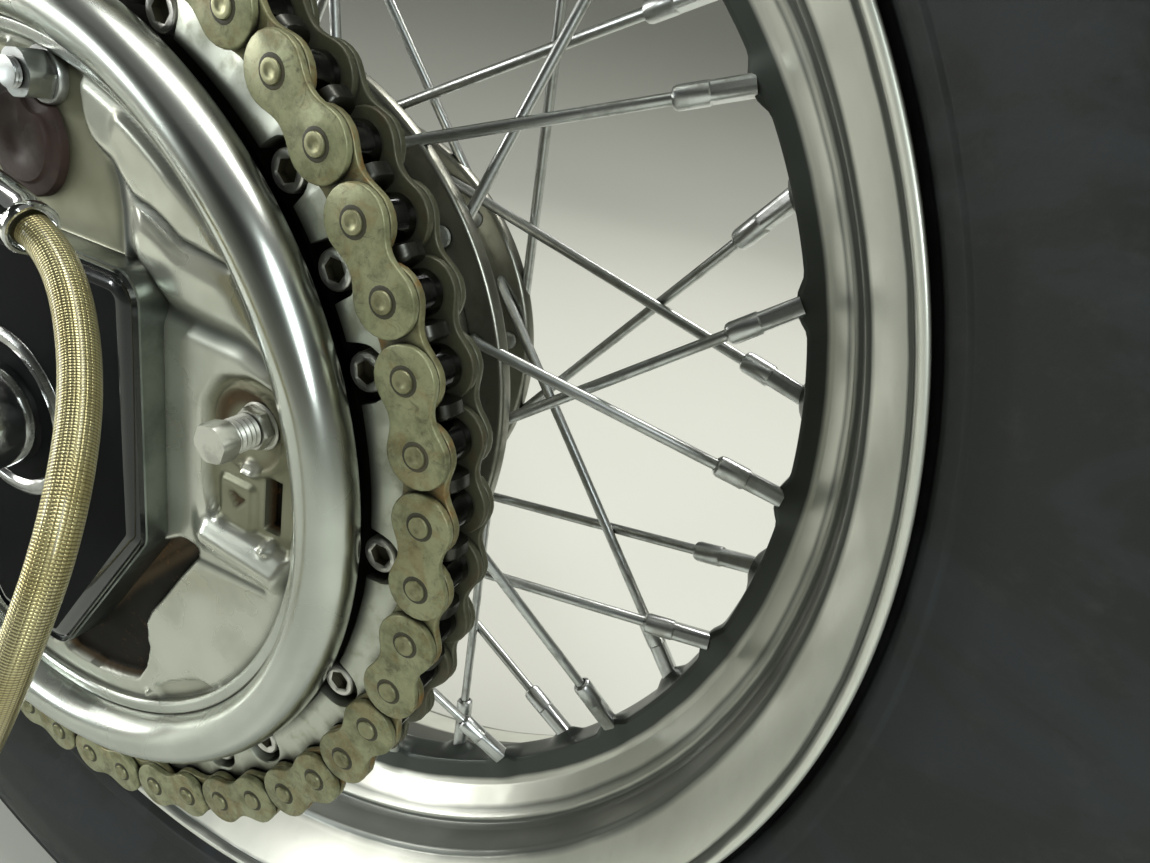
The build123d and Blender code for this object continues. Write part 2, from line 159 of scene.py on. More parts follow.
def skin(rings, count, closed=False, caps=False):
    """Quads between rings of count points, with the last joined to the first, or ends capped."""
    faces = []
    for i in range(rings if closed else rings - 1):
        a, b = i * count, (i + 1) % rings * count
        for k in range(count):
            m = (k + 1) % count
            faces.append((a + k, a + m, b + m, b + k))
    if caps:
        faces += [tuple(range(count)), tuple(range((rings - 1) * count, rings * count))]
    return faces


def lathe(profile, steps, rounds=3, radius_at=None):
    """A closed (radius, y[, corner radius]) outline carried round the axle."""
    profile = np.array(rounded(profile, rounds), float)
    angles = np.radians(np.arange(steps) * 360 / steps)[:, None]
    radius = np.repeat(profile[None, :, 0], steps, 0)
    y = np.repeat(profile[None, :, 1], steps, 0)
    if radius_at:
        radius = radius_at(angles, radius, y)
    verts = np.stack([radius * np.cos(angles), y, radius * np.sin(angles)], -1)
    return verts.reshape(-1, 3), skin(steps, len(profile), closed=True)


def section_radius(angle, sides, round_r, flat_half=None):
    """Radius of a circle cut by the flats of a regular polygon."""
    if not flat_half:
        return round_r
    step = 2 * math.pi / sides
    return min(round_r, flat_half / math.cos((angle % step) - step / 2))


def bar(start, way, sections, sides=4, steps=24, turn=0, caps=True):
    """A turned bar: sections are (distance, round radius[, half width over flats])."""
    start, axis = Vector(start), Vector(way).normalized()
    side = axis.orthogonal() if abs(axis.y) < 0.99 else Vector((1, 0, 0))
    side = (side - axis * side.dot(axis)).normalized()
    other = axis.cross(side)
    verts = []
    for distance, *shape in sections:
        for k in range(steps):
            a = 2 * math.pi * k / steps
            r = section_radius(a, sides, *shape)
            b = a + math.radians(turn)
            verts.append(start + axis * distance + side * (r * math.cos(b)) + other * (r * math.sin(b)))
    return verts, skin(len(sections), steps, caps=caps)


def inset(outline, distance):
    points = [Vector(p) for p in outline]
    area = sum(a.x * b.y - b.x * a.y for a, b in zip(points, points[1:] + points[:1]))
    sign = 1 if area > 0 else -1
    out = []
    for i, point in enumerate(points):
        before = (point - points[i - 1]).normalized()
        after = (points[(i + 1) % len(points)] - point).normalized()
        normal = Vector((-(before.y + after.y), before.x + after.x)).normalized() * sign
        out.append(tuple(point + normal * distance))
    return out


def slab(outline, y_low, y_high, bevel, rounds):
    """An (x, z) outline between two y planes with its edges rounded off."""
    rings = []
    for k in range(rounds + 1):
        a = math.pi / 2 * k / rounds
        rings.append((bevel * (1 - math.sin(a)), y_low + bevel * (1 - math.cos(a))))
    rings += [(d, y_low + y_high - y) for d, y in reversed(rings)]
    verts = [(x, y, z) for distance, y in rings for x, z in inset(outline, distance)]
    return verts, skin(len(rings), len(outline), caps=True)


def tube(points, radius, sides):
    """A round tube along points, with no twist."""
    tangents = []
    for i in range(len(points)):
        a = points[max(i - 1, 0)]
        b = points[min(i + 1, len(points) - 1)]
        tangents.append((b - a).normalized())
    side = tangents[0].orthogonal().normalized()
    verts = []
    for point, tangent in zip(points, tangents):
        side = (side - tangent * side.dot(tangent)).normalized()
        other = tangent.cross(side)
        for k in range(sides):
            a = 2 * math.pi * k / sides
            verts.append(point + side * (radius * math.cos(a)) + other * (radius * math.sin(a)))
    return verts, skin(len(points), sides, caps=True)


def bent_path(start, corner, end, radius, steps=5):
    """Points along two straight runs with a rounded corner."""
    before, after = start - corner, end - corner
    reach = min(radius, before.length * 0.45, after.length * 0.45)
    a = corner + before.normalized() * reach
    b = corner + after.normalized() * reach
    bend = []
    for k in range(steps + 1):
        t = k / steps
        bend.append(a * (1 - t) ** 2 + corner * (2 * t * (1 - t)) + b * t ** 2)
    return [start] + bend + [end]


class Piece:
    """Gathers the faces of one named piece and makes its object."""

    def __init__(self, name):
        self.name = name
        self.verts, self.faces, self.slots = [], [], []
        self.count = 0

    def add(self, shape, slots=0):
        """Slots is one material's number, or a list of one for each face."""
        verts, faces = shape
        self.verts.append(np.array([tuple(v) for v in verts], float))
        self.faces += [tuple(i + self.count for i in face) for face in faces]
        self.slots += slots if isinstance(slots, list) else [slots] * len(faces)
        self.count += len(verts)
        return self

    def make(self, materials, slot, *replaces, sharp=38, recalc=True):
        """Takes the place of the nodes that it replaces, and turns with the wheel where its slot does."""
        mesh = bpy.data.meshes.new(self.name)
        mesh.from_pydata((np.concatenate(self.verts) * MM).tolist(), [], self.faces)
        for material in materials if isinstance(materials, list) else [materials]:
            mesh.materials.append(material)
        mesh.polygons.foreach_set("material_index", self.slots)
        mesh.update()
        if recalc:
            work = bmesh.new()
            work.from_mesh(mesh)
            bmesh.ops.recalc_face_normals(work, faces=work.faces)
            work.to_mesh(mesh)
            work.free()
        mesh.polygons.foreach_set("use_smooth", [True] * len(mesh.polygons))
        mesh.set_sharp_from_angle(angle=math.radians(sharp))
        obj = bpy.data.objects.new(self.name, mesh)
        link(obj)
        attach(obj, "wheel" if slot in WHEEL_SLOTS else "axle_group")
        if replaces:
            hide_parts(*replaces)
        return obj


class Material:
    """A node material on object coordinates in metres."""

    def __init__(self, name):
        self.data = bpy.data.materials.new(name)
        self.data.use_nodes = True
        self.tree = self.data.node_tree
        self.shader = self.tree.nodes["Principled BSDF"]
        self.coords = self.add("TexCoord").outputs["Object"]

    def put(self, node, key, value):
        """Links an input to a socket, or sets it to a number, vector or colour."""
        socket = node.inputs[key]
        if isinstance(value, bpy.types.NodeSocket):
            self.tree.links.new(value, socket)
        else:
            socket.default_value = (*value, 1) if socket.type == "RGBA" else value

    def fill(self, node, values):
        for key, value in values.items():
            self.put(node, key.replace("_", " "), value)
        return node

    def add(self, kind, **inputs):
        return self.fill(self.tree.nodes.new("ShaderNode" + kind), inputs)

    def set(self, **values):
        self.fill(self.shader, values)

    def noise(self, size_mm, detail, rough, stretch=None, distortion=0):
        vector = self.coords
        if stretch:
            vector = self.add("Mapping", Vector=vector, Scale=stretch).outputs["Vector"]
        node = self.add("TexNoise", Vector=vector, Scale=1 / (size_mm * MM), Detail=detail,
                        Roughness=rough, Distortion=distortion)
        return node.outputs["Fac"]

    def ramp(self, value, low, high, out_low=0, out_high=1):
        node = self.add("MapRange", Value=value, From_Min=low, From_Max=high, To_Min=out_low,
                        To_Max=out_high)
        node.interpolation_type = "SMOOTHSTEP"
        return node.outputs["Result"]

    def patch(self, size_mm, detail, rough, low, high, **more):
        """Noise that is 0 below low and 1 above high."""
        return self.ramp(self.noise(size_mm, detail, rough, **more), low, high)

    def mix(self, share, first, second):
        node = self.add("Mix")
        node.data_type = "RGBA"
        for key, value in ((0, share), (6, first), (7, second)):
            self.put(node, key, value)
        return node.outputs[2]

    def cover(self, base, colour, mask, share):
        """The base, with a share of the colour over it where the mask is 1."""
        return self.mix(self.math("MULTIPLY", mask, share), base, colour)

    def math(self, operation, first, second=0):
        node = self.add("Math")
        node.operation = operation
        self.put(node, 0, first)
        self.put(node, 1, second)
        return node.outputs[0]

    def hollow_shade_and_edge_wear(self, distance_mm, low, high, edges=False):
        """1 in hollows and seams, where callers paint shade; with edges set, 1 on worn edges instead. 0 on
        open faces.
        """
        node = self.add("AmbientOcclusion", Distance=distance_mm * MM)
        node.samples = 6
        node.inside = edges
        return self.ramp(node.outputs["AO"], low, high, 1, 0)

    def place(self):
        """The object coordinates x, y, z in metres."""
        return self.add("SeparateXYZ", Vector=self.coords).outputs

    def rings(self, base, painted_dark, stops, size_mm, detail, waver_mm):
        """The base where stops of (radius, level) round the axle are 1, and the painted dark colour where 0:
        painted reflections on the rim, painted shadow on the sprocket.
        """
        x, _, z = self.place()
        squares = self.math("ADD", self.math("MULTIPLY", x, x), self.math("MULTIPLY", z, z))
        radius = self.math("DIVIDE", self.math("SQRT", squares), MM)
        waver = self.math("SUBTRACT", self.noise(size_mm, detail, 0.5), 0.5)
        at = self.math("ADD", radius, self.math("MULTIPLY", waver, waver_mm))
        first, last = stops[0][0], stops[-1][0]
        share = self.math("DIVIDE", self.math("SUBTRACT", at, first), last - first)
        node = self.add("ValToRGB", Fac=share)
        elements = node.color_ramp.elements
        while len(elements) < len(stops):
            elements.new(0.5)
        for element, (stop, level) in zip(elements, stops):
            element.position = (stop - first) / (last - first)
            element.color = (level, level, level, 1)
        return self.mix(self.math("MULTIPLY", node.outputs["Color"], 1), painted_dark, base)

    def bump(self, height, strength, distance_mm):
        """Bumps the shader, which closes the material."""
        node = self.add("Bump", Height=height, Strength=strength, Distance=distance_mm * MM)
        self.set(Normal=node.outputs["Normal"])
        return self.data


def polished(name, colour, dull, rough, rough_high, smudge_mm=34, metal=1, bands=None, reflection_dark=None):
    """Hand-polished alloy: smudges, haze, painted shade in its corners, and painted dark reflections in rings
    round the axle where bands are given.
    """
    m = Material(name)
    smudge = m.patch(smudge_mm, 3, 0.55, 0.32, 0.72)
    corner = m.hollow_shade_and_edge_wear(9, 0.15, 0.8)
    base = m.mix(smudge, colour, dull)
    base = m.mix(m.ramp(m.noise(5, 4, 0.6), 0.5, 0.75, 0, 0.4), base, dull)
    # Painted reflections: where bands are given, dark rings round the axle stand in for dark reflections.
    if bands:
        base = m.rings(base, reflection_dark, bands, 26, 3, 1.2)
    # Painted shade: the corner mask darkens the colour in hollows.
    base = m.cover(base, (0.07, 0.065, 0.05), corner, 0.85)
    level = m.math("ADD", m.ramp(smudge, 0, 1, rough, rough_high), m.math("MULTIPLY", corner, 0.25))
    m.set(Base_Color=base, Metallic=metal, Roughness=level)
    return m.data


def rubber():
    m = Material("tyre_rubber")
    smear = m.patch(75, 6, 0.62, 0.45, 0.6, stretch=(1, 1, 2.2), distortion=0.8)
    dust = m.patch(9, 5, 0.7, 0.5, 0.8)
    scuff = m.patch(14, 6, 0.75, 0.66, 0.74, stretch=(0.25, 1, 1.6), distortion=1.2)
    base = m.mix(smear, (0.02, 0.022, 0.021), (0.031, 0.035, 0.038))
    base = m.cover(base, (0.055, 0.055, 0.052), dust, 0.35)
    base = m.cover(base, (0.012, 0.012, 0.012), scuff, 0.5)
    m.set(Base_Color=base, Roughness=m.ramp(smear, 0, 1, 0.5, 0.7), Specular_IOR_Level=0.35)
    return m.bump(m.noise(1.1, 4, 0.6), 0.25, 0.25)


def steel(name, colour, dull, rough, rough_high, reach=4, bands=None):
    m = Material(name)
    patch = m.patch(7, 5, 0.6, 0.45, 0.7)
    base = m.mix(patch, colour, dull)
    # Painted shadow: where bands are given, the colour darkens in rings round the axle.
    if bands:
        base = m.rings(base, (0.03, 0.028, 0.024), bands, 14, 2, 2.4)
    # Painted shade: darkens the colour in hollows within reach.
    base = m.cover(base, (0.05, 0.045, 0.035), m.hollow_shade_and_edge_wear(reach, 0.2, 0.85), 0.9)
    m.set(Base_Color=base, Metallic=1, Roughness=m.ramp(patch, 0, 1, rough, rough_high))
    return m.bump(m.noise(0.9, 3, 0.5), 0.05, 0.15)


def cast(name, colour, dull):
    m = Material(name)
    patch = m.patch(18, 5, 0.6, 0.4, 0.7)
    base = m.mix(patch, colour, dull)
    # Painted shade: darkens the colour in hollows.
    base = m.cover(base, (0.035, 0.033, 0.028), m.hollow_shade_and_edge_wear(12, 0.15, 0.85), 0.8)
    m.set(Base_Color=base, Metallic=1, Roughness=m.ramp(patch, 0, 1, 0.32, 0.5))
    return m.bump(m.noise(1.4, 4, 0.6), 0.14, 0.3)


def chain_plate(name, colour, dull, rust, rust_share):
    """Greased and weathered link plates, darker on the side towards the wheel."""
    m = Material(name)
    film = m.patch(6, 5, 0.65, 0.4, 0.7)
    base = m.mix(film, colour, dull)
    base = m.cover(base, (0.11, 0.085, 0.04), m.patch(2.2, 4, 0.7, 0.6, 0.78), 0.5)
    base = m.cover(base, rust, m.patch(9, 5, 0.7, 0.48, 0.64, distortion=0.8), rust_share)
    base = m.cover(base, (0.09, 0.08, 0.044), m.patch(3.6, 6, 0.75, 0.5, 0.72, distortion=1), 0.75)
    base = m.cover(base, (0.4, 0.39, 0.28), m.hollow_shade_and_edge_wear(0.8, 0.1, 0.6, edges=True), 0.35)
    # Painted shade in the gaps between plates, pins and rollers.
    base = m.mix(m.hollow_shade_and_edge_wear(2.6, 0.3, 0.9), base, (0.022, 0.02, 0.013))
    inside = m.ramp(m.place()[1], (CHAIN_Y - 1) * MM, (CHAIN_Y + 5) * MM)
    base = m.cover(base, (0.05, 0.052, 0.036), inside, 0.8)
    m.set(Base_Color=base, Metallic=0.3, Roughness=m.ramp(film, 0, 1, 0.36, 0.55), Specular_IOR_Level=0.5)
    return m.bump(m.noise(1.2, 5, 0.65), 0.22, 0.25)


def braid():
    """Stainless braid under a yellowed clear cover. The tube's u runs along it and v round it."""
    m = Material("hose_braid")
    uv = m.add("UVMap")
    uv.uv_map = "UVMap"
    along, around, _ = m.add("SeparateXYZ", Vector=uv.outputs["UV"]).outputs
    rows, columns = (
        m.math("ABSOLUTE", m.math("SINE", m.math("MULTIPLY", run, math.pi * often)))
        for run, often in ((along, 1 / (BRAID_ROW * MM)), (around, BRAID_STRANDS))
    )
    weave = m.math("MULTIPLY", rows, m.ramp(columns, 0, 0.8, 0.45, 1))
    base = m.mix(m.patch(22, 4, 0.6, 0.4, 0.7), (0.68, 0.61, 0.33), (0.52, 0.43, 0.18))
    base = m.mix(m.ramp(weave, 0.2, 0.75, 0.75, 0), base, (0.16, 0.12, 0.04))
    m.set(Base_Color=base, Metallic=0.85, Roughness=0.28, Coat_Weight=0.5, Coat_Roughness=0.16)
    return m.bump(weave, 0.5, 0.4)


def paint(name, colour, dull, rough, coat=0, specular=0.5):
    m = Material(name)
    patch = m.patch(16, 5, 0.65, 0.42, 0.7)
    level = m.ramp(patch, 0, 1, rough, rough + 0.12)
    m.set(Base_Color=m.mix(patch, colour, dull), Roughness=level, Specular_IOR_Level=specular,
          Coat_Weight=coat, Coat_Roughness=0.06)
    return m.bump(m.noise(2, 4, 0.6), 0.06, 0.2)


def plate_alloy():
    """The brake plate: bright panels, painted shade on its steep walls and seams, an oily bay round the bolt,
    and a rusty bay below whose deepest part is painted shadow.
    """
    m = Material("plate_polished")
    zones = m.add("VertexColor")
    zones.layer_name = "zones"
    # The zones: wall is painted shade on steep walls and seams, oil is oil, and rust is rust that turns into
    # painted shadow near 1.
    wall, oil, rust = m.add("SeparateColor", Color=zones.outputs["Color"]).outputs
    smudge = m.patch(22, 3, 0.55, 0.3, 0.7)
    speck = m.patch(3.4, 5, 0.7, 0.56, 0.76)
    base = m.mix(smudge, (0.66, 0.67, 0.595), (0.54, 0.55, 0.475))
    base = m.mix(oil, base, m.mix(smudge, (0.29, 0.29, 0.21), (0.22, 0.215, 0.145)))
    # Painted shade on steep walls and along the seams.
    base = m.cover(base, (0.04, 0.05, 0.046), wall, 0.97)
    # Painted shade in hollows.
    base = m.cover(base, (0.05, 0.045, 0.032), m.hollow_shade_and_edge_wear(3.5, 0.2, 0.82), 0.7)
    # Near 1 the rust turns near-black: painted shadow in the dark bay and the slot, with rusty specks.
    rust_and_shadow = m.mix(speck, (0.011, 0.009, 0.006), (0.1, 0.05, 0.018))
    flaky = m.mix(speck, (0.09, 0.06, 0.032), (0.2, 0.1, 0.035))
    base = m.mix(m.ramp(rust, 0, 0.7), base, m.mix(m.ramp(rust, 0.75, 1), flaky, rust_and_shadow))
    rough = m.math("ADD", m.ramp(smudge, 0, 1, 0.22, 0.36), m.math("MULTIPLY", oil, 0.16))
    rough = m.math("ADD", rough, m.math("MULTIPLY", m.math("MAXIMUM", rust, wall), 0.3))
    m.set(Base_Color=base, Metallic=m.ramp(rust, 0, 0.7, 0.8, 0), Roughness=rough, Specular_IOR_Level=0.15)
    return m.data


# Levels across the rim: 0 where dark reflections are painted on, 1 where the polished alloy shows.
RIM_BANDS = [
    (180, 0.1), (183, 0), (190.4, 0), (191.8, 0.95), (196.6, 1), (197.6, 0.2), (198.6, 0.6), (199.7, 0.6),
    (200.4, 0.05), (203, 0.2), (204.8, 0.05), (206.2, 1), (214.4, 1), (215, 0.1), (216.2, 0.1), (216.9, 1),
    (220, 1),
]
# Levels across the sprocket: painted shadow of the plate's bead, with oil in it, near 0, and the open face at
# 1.
SPROCKET_BANDS = [(100, 0), (108.5, 0.04), (112.8, 1), (119, 1), (124, 0.4)]
RUBBER = rubber()
# The rim's last colour is the painted dark reflection that its bands lay on.
RIM_METAL = polished("rim_polished", (0.88, 0.89, 0.8), (0.78, 0.79, 0.7), 0.3, 0.42, metal=0.5,
                     bands=RIM_BANDS, reflection_dark=(0.07, 0.08, 0.072))
BEAD_METAL = polished("bead_polished", (0.64, 0.665, 0.62), (0.5, 0.525, 0.48), 0.19, 0.29, smudge_mm=50)
PLATE_METAL = plate_alloy()
SPOKE_STEEL = steel("spoke_steel", (0.62, 0.64, 0.63), (0.42, 0.43, 0.41), 0.32, 0.48, 3)
NIPPLE_STEEL = steel("nipple_chrome", (0.72, 0.74, 0.74), (0.54, 0.55, 0.53), 0.3, 0.42, 3)
HUB_METAL = cast("hub_alloy", (0.3, 0.3, 0.26), (0.18, 0.18, 0.145))
DRUM_METAL = cast("drum_alloy", (0.26, 0.26, 0.22), (0.15, 0.15, 0.12))
SPROCKET_STEEL = steel("sprocket_steel", (0.7, 0.72, 0.635), (0.54, 0.555, 0.45), 0.46, 0.6, 5,
                       SPROCKET_BANDS)
TOOTH_STEEL = steel("tooth_oily", (0.075, 0.075, 0.066), (0.035, 0.035, 0.03), 0.34, 0.5)
OUTER_PLATE = chain_plate("link_outer", (0.33, 0.335, 0.19), (0.175, 0.18, 0.09), (0.22, 0.13, 0.038), 0.4)
INNER_PLATE = chain_plate("link_inner", (0.27, 0.26, 0.135), (0.14, 0.13, 0.06), (0.24, 0.125, 0.03), 0.8)
PIN_STEEL = steel("pin_steel", (0.33, 0.325, 0.2), (0.17, 0.165, 0.09), 0.46, 0.6, 1.5)
ROLLER_STEEL = steel("roller_oily", (0.05, 0.05, 0.052), (0.025, 0.025, 0.025), 0.1, 0.22)
# Near-black: grease on the hub's seal, and painted shade in the sprocket bolts' sockets and in the groove
# round each chain pin.
GREASE_AND_SHADE = paint("grease_and_painted_shade", (0.05, 0.045, 0.026), (0.08, 0.07, 0.04), 0.6)
SOCKET_STEEL = steel("socket_head", (0.86, 0.85, 0.8), (0.68, 0.67, 0.61), 0.4, 0.5, 1)
AXLE_STEEL = steel("axle_steel", (0.46, 0.47, 0.46), (0.3, 0.3, 0.28), 0.18, 0.34)
ZINC = steel("zinc_bolt", (0.68, 0.68, 0.62), (0.5, 0.5, 0.44), 0.42, 0.55, 1.5)
CHROME = steel("fitting_chrome", (0.74, 0.75, 0.74), (0.56, 0.56, 0.53), 0.07, 0.2, 2)
CAP_PAINT = paint("cap_redbrown", (0.058, 0.034, 0.029), (0.03, 0.019, 0.016), 0.5, specular=0.3)
CARRIER_FACE = paint("carrier_front", (0.006, 0.007, 0.008), (0.011, 0.012, 0.012), 0.6, specular=0.04)
CARRIER_WALL = cast("carrier_wall", (0.24, 0.265, 0.24), (0.15, 0.17, 0.15))
CARRIER_PAINT = paint("carrier_black", (0.006, 0.007, 0.008), (0.012, 0.014, 0.014), 0.14, 0.7, 0.4)
BRAID = braid()


def tread_depth(angle, y):
    """Depth in mm of the road tread's grooves at an angle and a distance from the middle."""
    zigzag = 3.2 * np.arcsin(np.sin(angle * 36)) / (math.pi / 2)
    depth = np.zeros(np.broadcast(angle, y).shape)
    for middle in (-33, -12, 12, 33):
        away = np.abs(y - middle - zigzag * (0.5 if abs(middle) > 20 else 1))
        depth = np.maximum(depth, np.clip((4 - away) / 1.6, 0, 1))

    def cut(phase, half, edge):
        """72 cuts across the tread, which is 28 mm from one to the next."""
        away = np.abs(((angle * 72 / (2 * math.pi) + phase) % 1) - 0.5) * 28
        return np.clip((half - away) / edge, 0, 1)

    outer = (np.abs(y) > 36) & (np.abs(y) < 60)
    depth = np.maximum(depth, np.where(outer, cut(y * 0.012, 3.2, 1.4), 0))
    depth = np.maximum(depth, np.where(np.abs(y) < 9, cut(0.5 - y * 0.02, 1.6, 1) * 0.5, 0))
    return depth * TREAD_DEPTH


def make_tyre():
    side = [
        (214.6, 40), (214.8, 47, 2), (218.4, 51.6, 2), (221, 53.4, 2), (222.6, 59.6, 2), (225.6, 61.6, 1),
        (227, 61.6, 1), (234, 66.4, 20), (247, 71.6, 30), (262, 74.6, 30), (280, 74.2, 30), (291, 70.8, 12),
        (297.5, 68.6, 1.5), (298.6, 69.4, 1), (300.4, 68.6, 1), (301.5, 66.8, 1.5), (309.5, 60, 8),
    ]
    left = [(r, -y) for r, y in rounded(side, 3, closed=False)]
    crown = [(311.5 + 11.5 * (1 - (abs(y) / CROWN_HALF) ** 2.6), y)
             for y in np.linspace(-CROWN_HALF, CROWN_HALF, 58)]
    right = [(r, -y) for r, y in reversed(left)]

    def carve(angle, radius, y):
        return radius - np.where(radius > TREAD_R, tread_depth(angle, y), 0)

    body = lathe(left + crown + right + [(232, 30), (232, -30)], 900, radius_at=carve)
    Piece("tyre_body").add(body).make(RUBBER, "tyre", "tyre", sharp=32)


def make_rim():
    near = [
        (219.2, 55.4, 0.8), (219.2, 57.4, 1), (217.6, 58, 1), (216.6, 57.4, 0.5), (215.9, 54.6, 0.6),
        (215, 54.9, 0.6), (206.6, 37.6, 3), (205.2, 34.6, 1.6), (203.4, 33, 2), (202.4, 23.6, 3),
        (201.3, 21, 0.8), (199.4, 20.5, 0.9), (198.3, 18.6, 0.6), (197.4, 17.2, 0.8), (193, 9.6, 2),
        (191.2, 8.2, 1.2), (186, 6.2, 1), (184.6, 5.2, 0.6),
    ]
    back = [(188.4, 3.4), (203.2, 16.6), (206.4, 22.4), (209.6, 36.6), (214.2, 47.4), (217.9, 52.6),
            (218.7, 54.8)]
    outline = [(r, -y, *rest) for r, y, *rest in near]
    outline += [(WELL_R, y) for y in (-3.6, -2.2, -0.8, 0.8, 2.2, 3.6)]
    outline += near[::-1] + back[::-1] + [(r, -y) for r, y in back]

    def dimple(angle, radius, y):
        """The well swells inwards round each nipple."""
        swell = np.zeros(radius.shape)
        pitch = 2 * math.pi / SPOKES_PER_SIDE
        for *_, nipple_y, first, _ in SPOKE_SIDES:
            turn = (angle - math.radians(first) + pitch / 2) % pitch - pitch / 2
            away = (turn * WELL_R / 6.2) ** 2 + ((y - nipple_y) / 5.4) ** 2
            swell = np.maximum(swell, np.exp(-away ** 2))
        return radius - DIMPLE * swell * np.clip((197 - radius) / 8, 0, 1)

    band = lathe(outline, 640, 2, dimple)
    Piece("rim_band").add(band).make(RIM_METAL, "rim", "rim", sharp=40)


def make_spokes():
    knob = [(0, 1.8), (0.2, 2.9), (0.9, 3.3), (1.6, 3), (2.1, 2)]
    nipple = [
        (0, 3.35, 2.75), (11.6, 3.35, 2.75), (12, 3.35, 3.2), (12.2, 3.35), (20, 3.35), (21, 3.05),
        (21.5, 2.5), (21.7, 2.1), (20, 1.9),
    ]
    for side, hole_r, flange_y, nipple_y, first, turn in SPOKE_SIDES:
        place, node = ("near", "left") if side < 0 else ("far", "right")
        spokes, nipples = Piece("spokes_" + place), Piece("nipples_" + place)
        for k in range(SPOKES_PER_SIDE):
            at_rim = first + k * 360 / SPOKES_PER_SIDE
            out = RIGHT if k % 2 == 0 else LEFT
            hole = polar(hole_r, at_rim + out.y * turn, flange_y)
            leave = hole - out * SPOKE_BEND
            end = polar(WELL_R, at_rim, nipple_y)
            head = hole + out * 3.2
            spokes.add(tube(bent_path(head, leave - out * 1.2, end, 4), SPOKE_R, 10))
            spokes.add(bar(head, out, knob, steps=14))
            axis = (leave - end).normalized()
            nipples.add(bar(end + axis, axis, nipple, turn=20))
        spokes.make(SPOKE_STEEL, "spoke", "spokes_" + node)
        nipples.make(NIPPLE_STEEL, "nipple", "nipples_" + node, sharp=30)


def make_hub():
    outline = [
        (BORE_R, -33), (103.5, -33, 1.5), (103.5, -27, 2), (88, -26, 4), (80, -22, 10), (54, -8, 22),
        (52, 12, 14), (60, 19, 6), (72, 23, 3), (79.5, 24, 2), (79.5, 30, 2), (58, 30.4, 3), (50, 33, 3),
        (44, 34, 2), (34, 46, 4), (30, 52, 2), (BORE_R, 52),
    ]
    seal = [(BORE_R, 50.5), (24, 50.5), (24, 52.2, 0.6), (20, 52.4, 0.6), (18.6, 51.4, 0.4), (16.5, 51.4),
            (BORE_R, 51.6)]
    piece = Piece("hub_body").add(lathe(outline, 192, 4)).add(lathe(seal, 96), 1)
    piece.make([HUB_METAL, GREASE_AND_SHADE], "hub", "hub_shell")


def make_drum():
    outline = [(82, -33), (82, -90.1), (118.5, -90.1, 1), (118.5, -84.4, 2), (101, -83.6, 3), (93, -80, 5)]
    for k in range(4):
        y = -74 + k * 8.4
        outline += [(89.5, y - 2.6, 1.2), (92.6, y - 1.6, 0.8), (92.6, y + 1.6, 0.8), (89.5, y + 2.6, 1.2)]
    outline += [(89, -43, 2), (94, -39, 2), (94, -33, 0.5)]
    piece = Piece("drum_body").add(lathe(outline, 224))
    for k in range(10):
        piece.add(bar(polar(106.5, 18 + 36 * k, -84.4), RIGHT, [(0, 5.2), (5.2, 5.2, 4.6), (6, 4.6)], sides=6))
    piece.make(DRUM_METAL, "drum", "brake_drum")


def tooth_outline():
    """Angles, and the radius of the sprocket's edge at each: root arc, flank and tip."""
    points = []
    for k in range(-10, 11):
        b = math.pi + math.radians(ROOT_SWEEP) * k / 10
        x, z = PITCH_R + ROOT_R * math.cos(b), ROOT_R * math.sin(b)
        points.append((math.degrees(math.atan2(z, x)), math.hypot(x, z)))
    half = GAP_STEP / 2
    tip = half - TOOTH_TIP_HALF
    ends = [(at, TOOTH_TIP_R) for at in (-half, -tip, tip, half)]
    known = ends[:2] + sorted(points) + ends[2:]
    count = TEETH * TOOTH_STEPS
    angles = np.arange(count) * 360 / count
    local = (angles - FIRST_PIN + half) % GAP_STEP - half
    return angles, np.interp(local, *zip(*known))


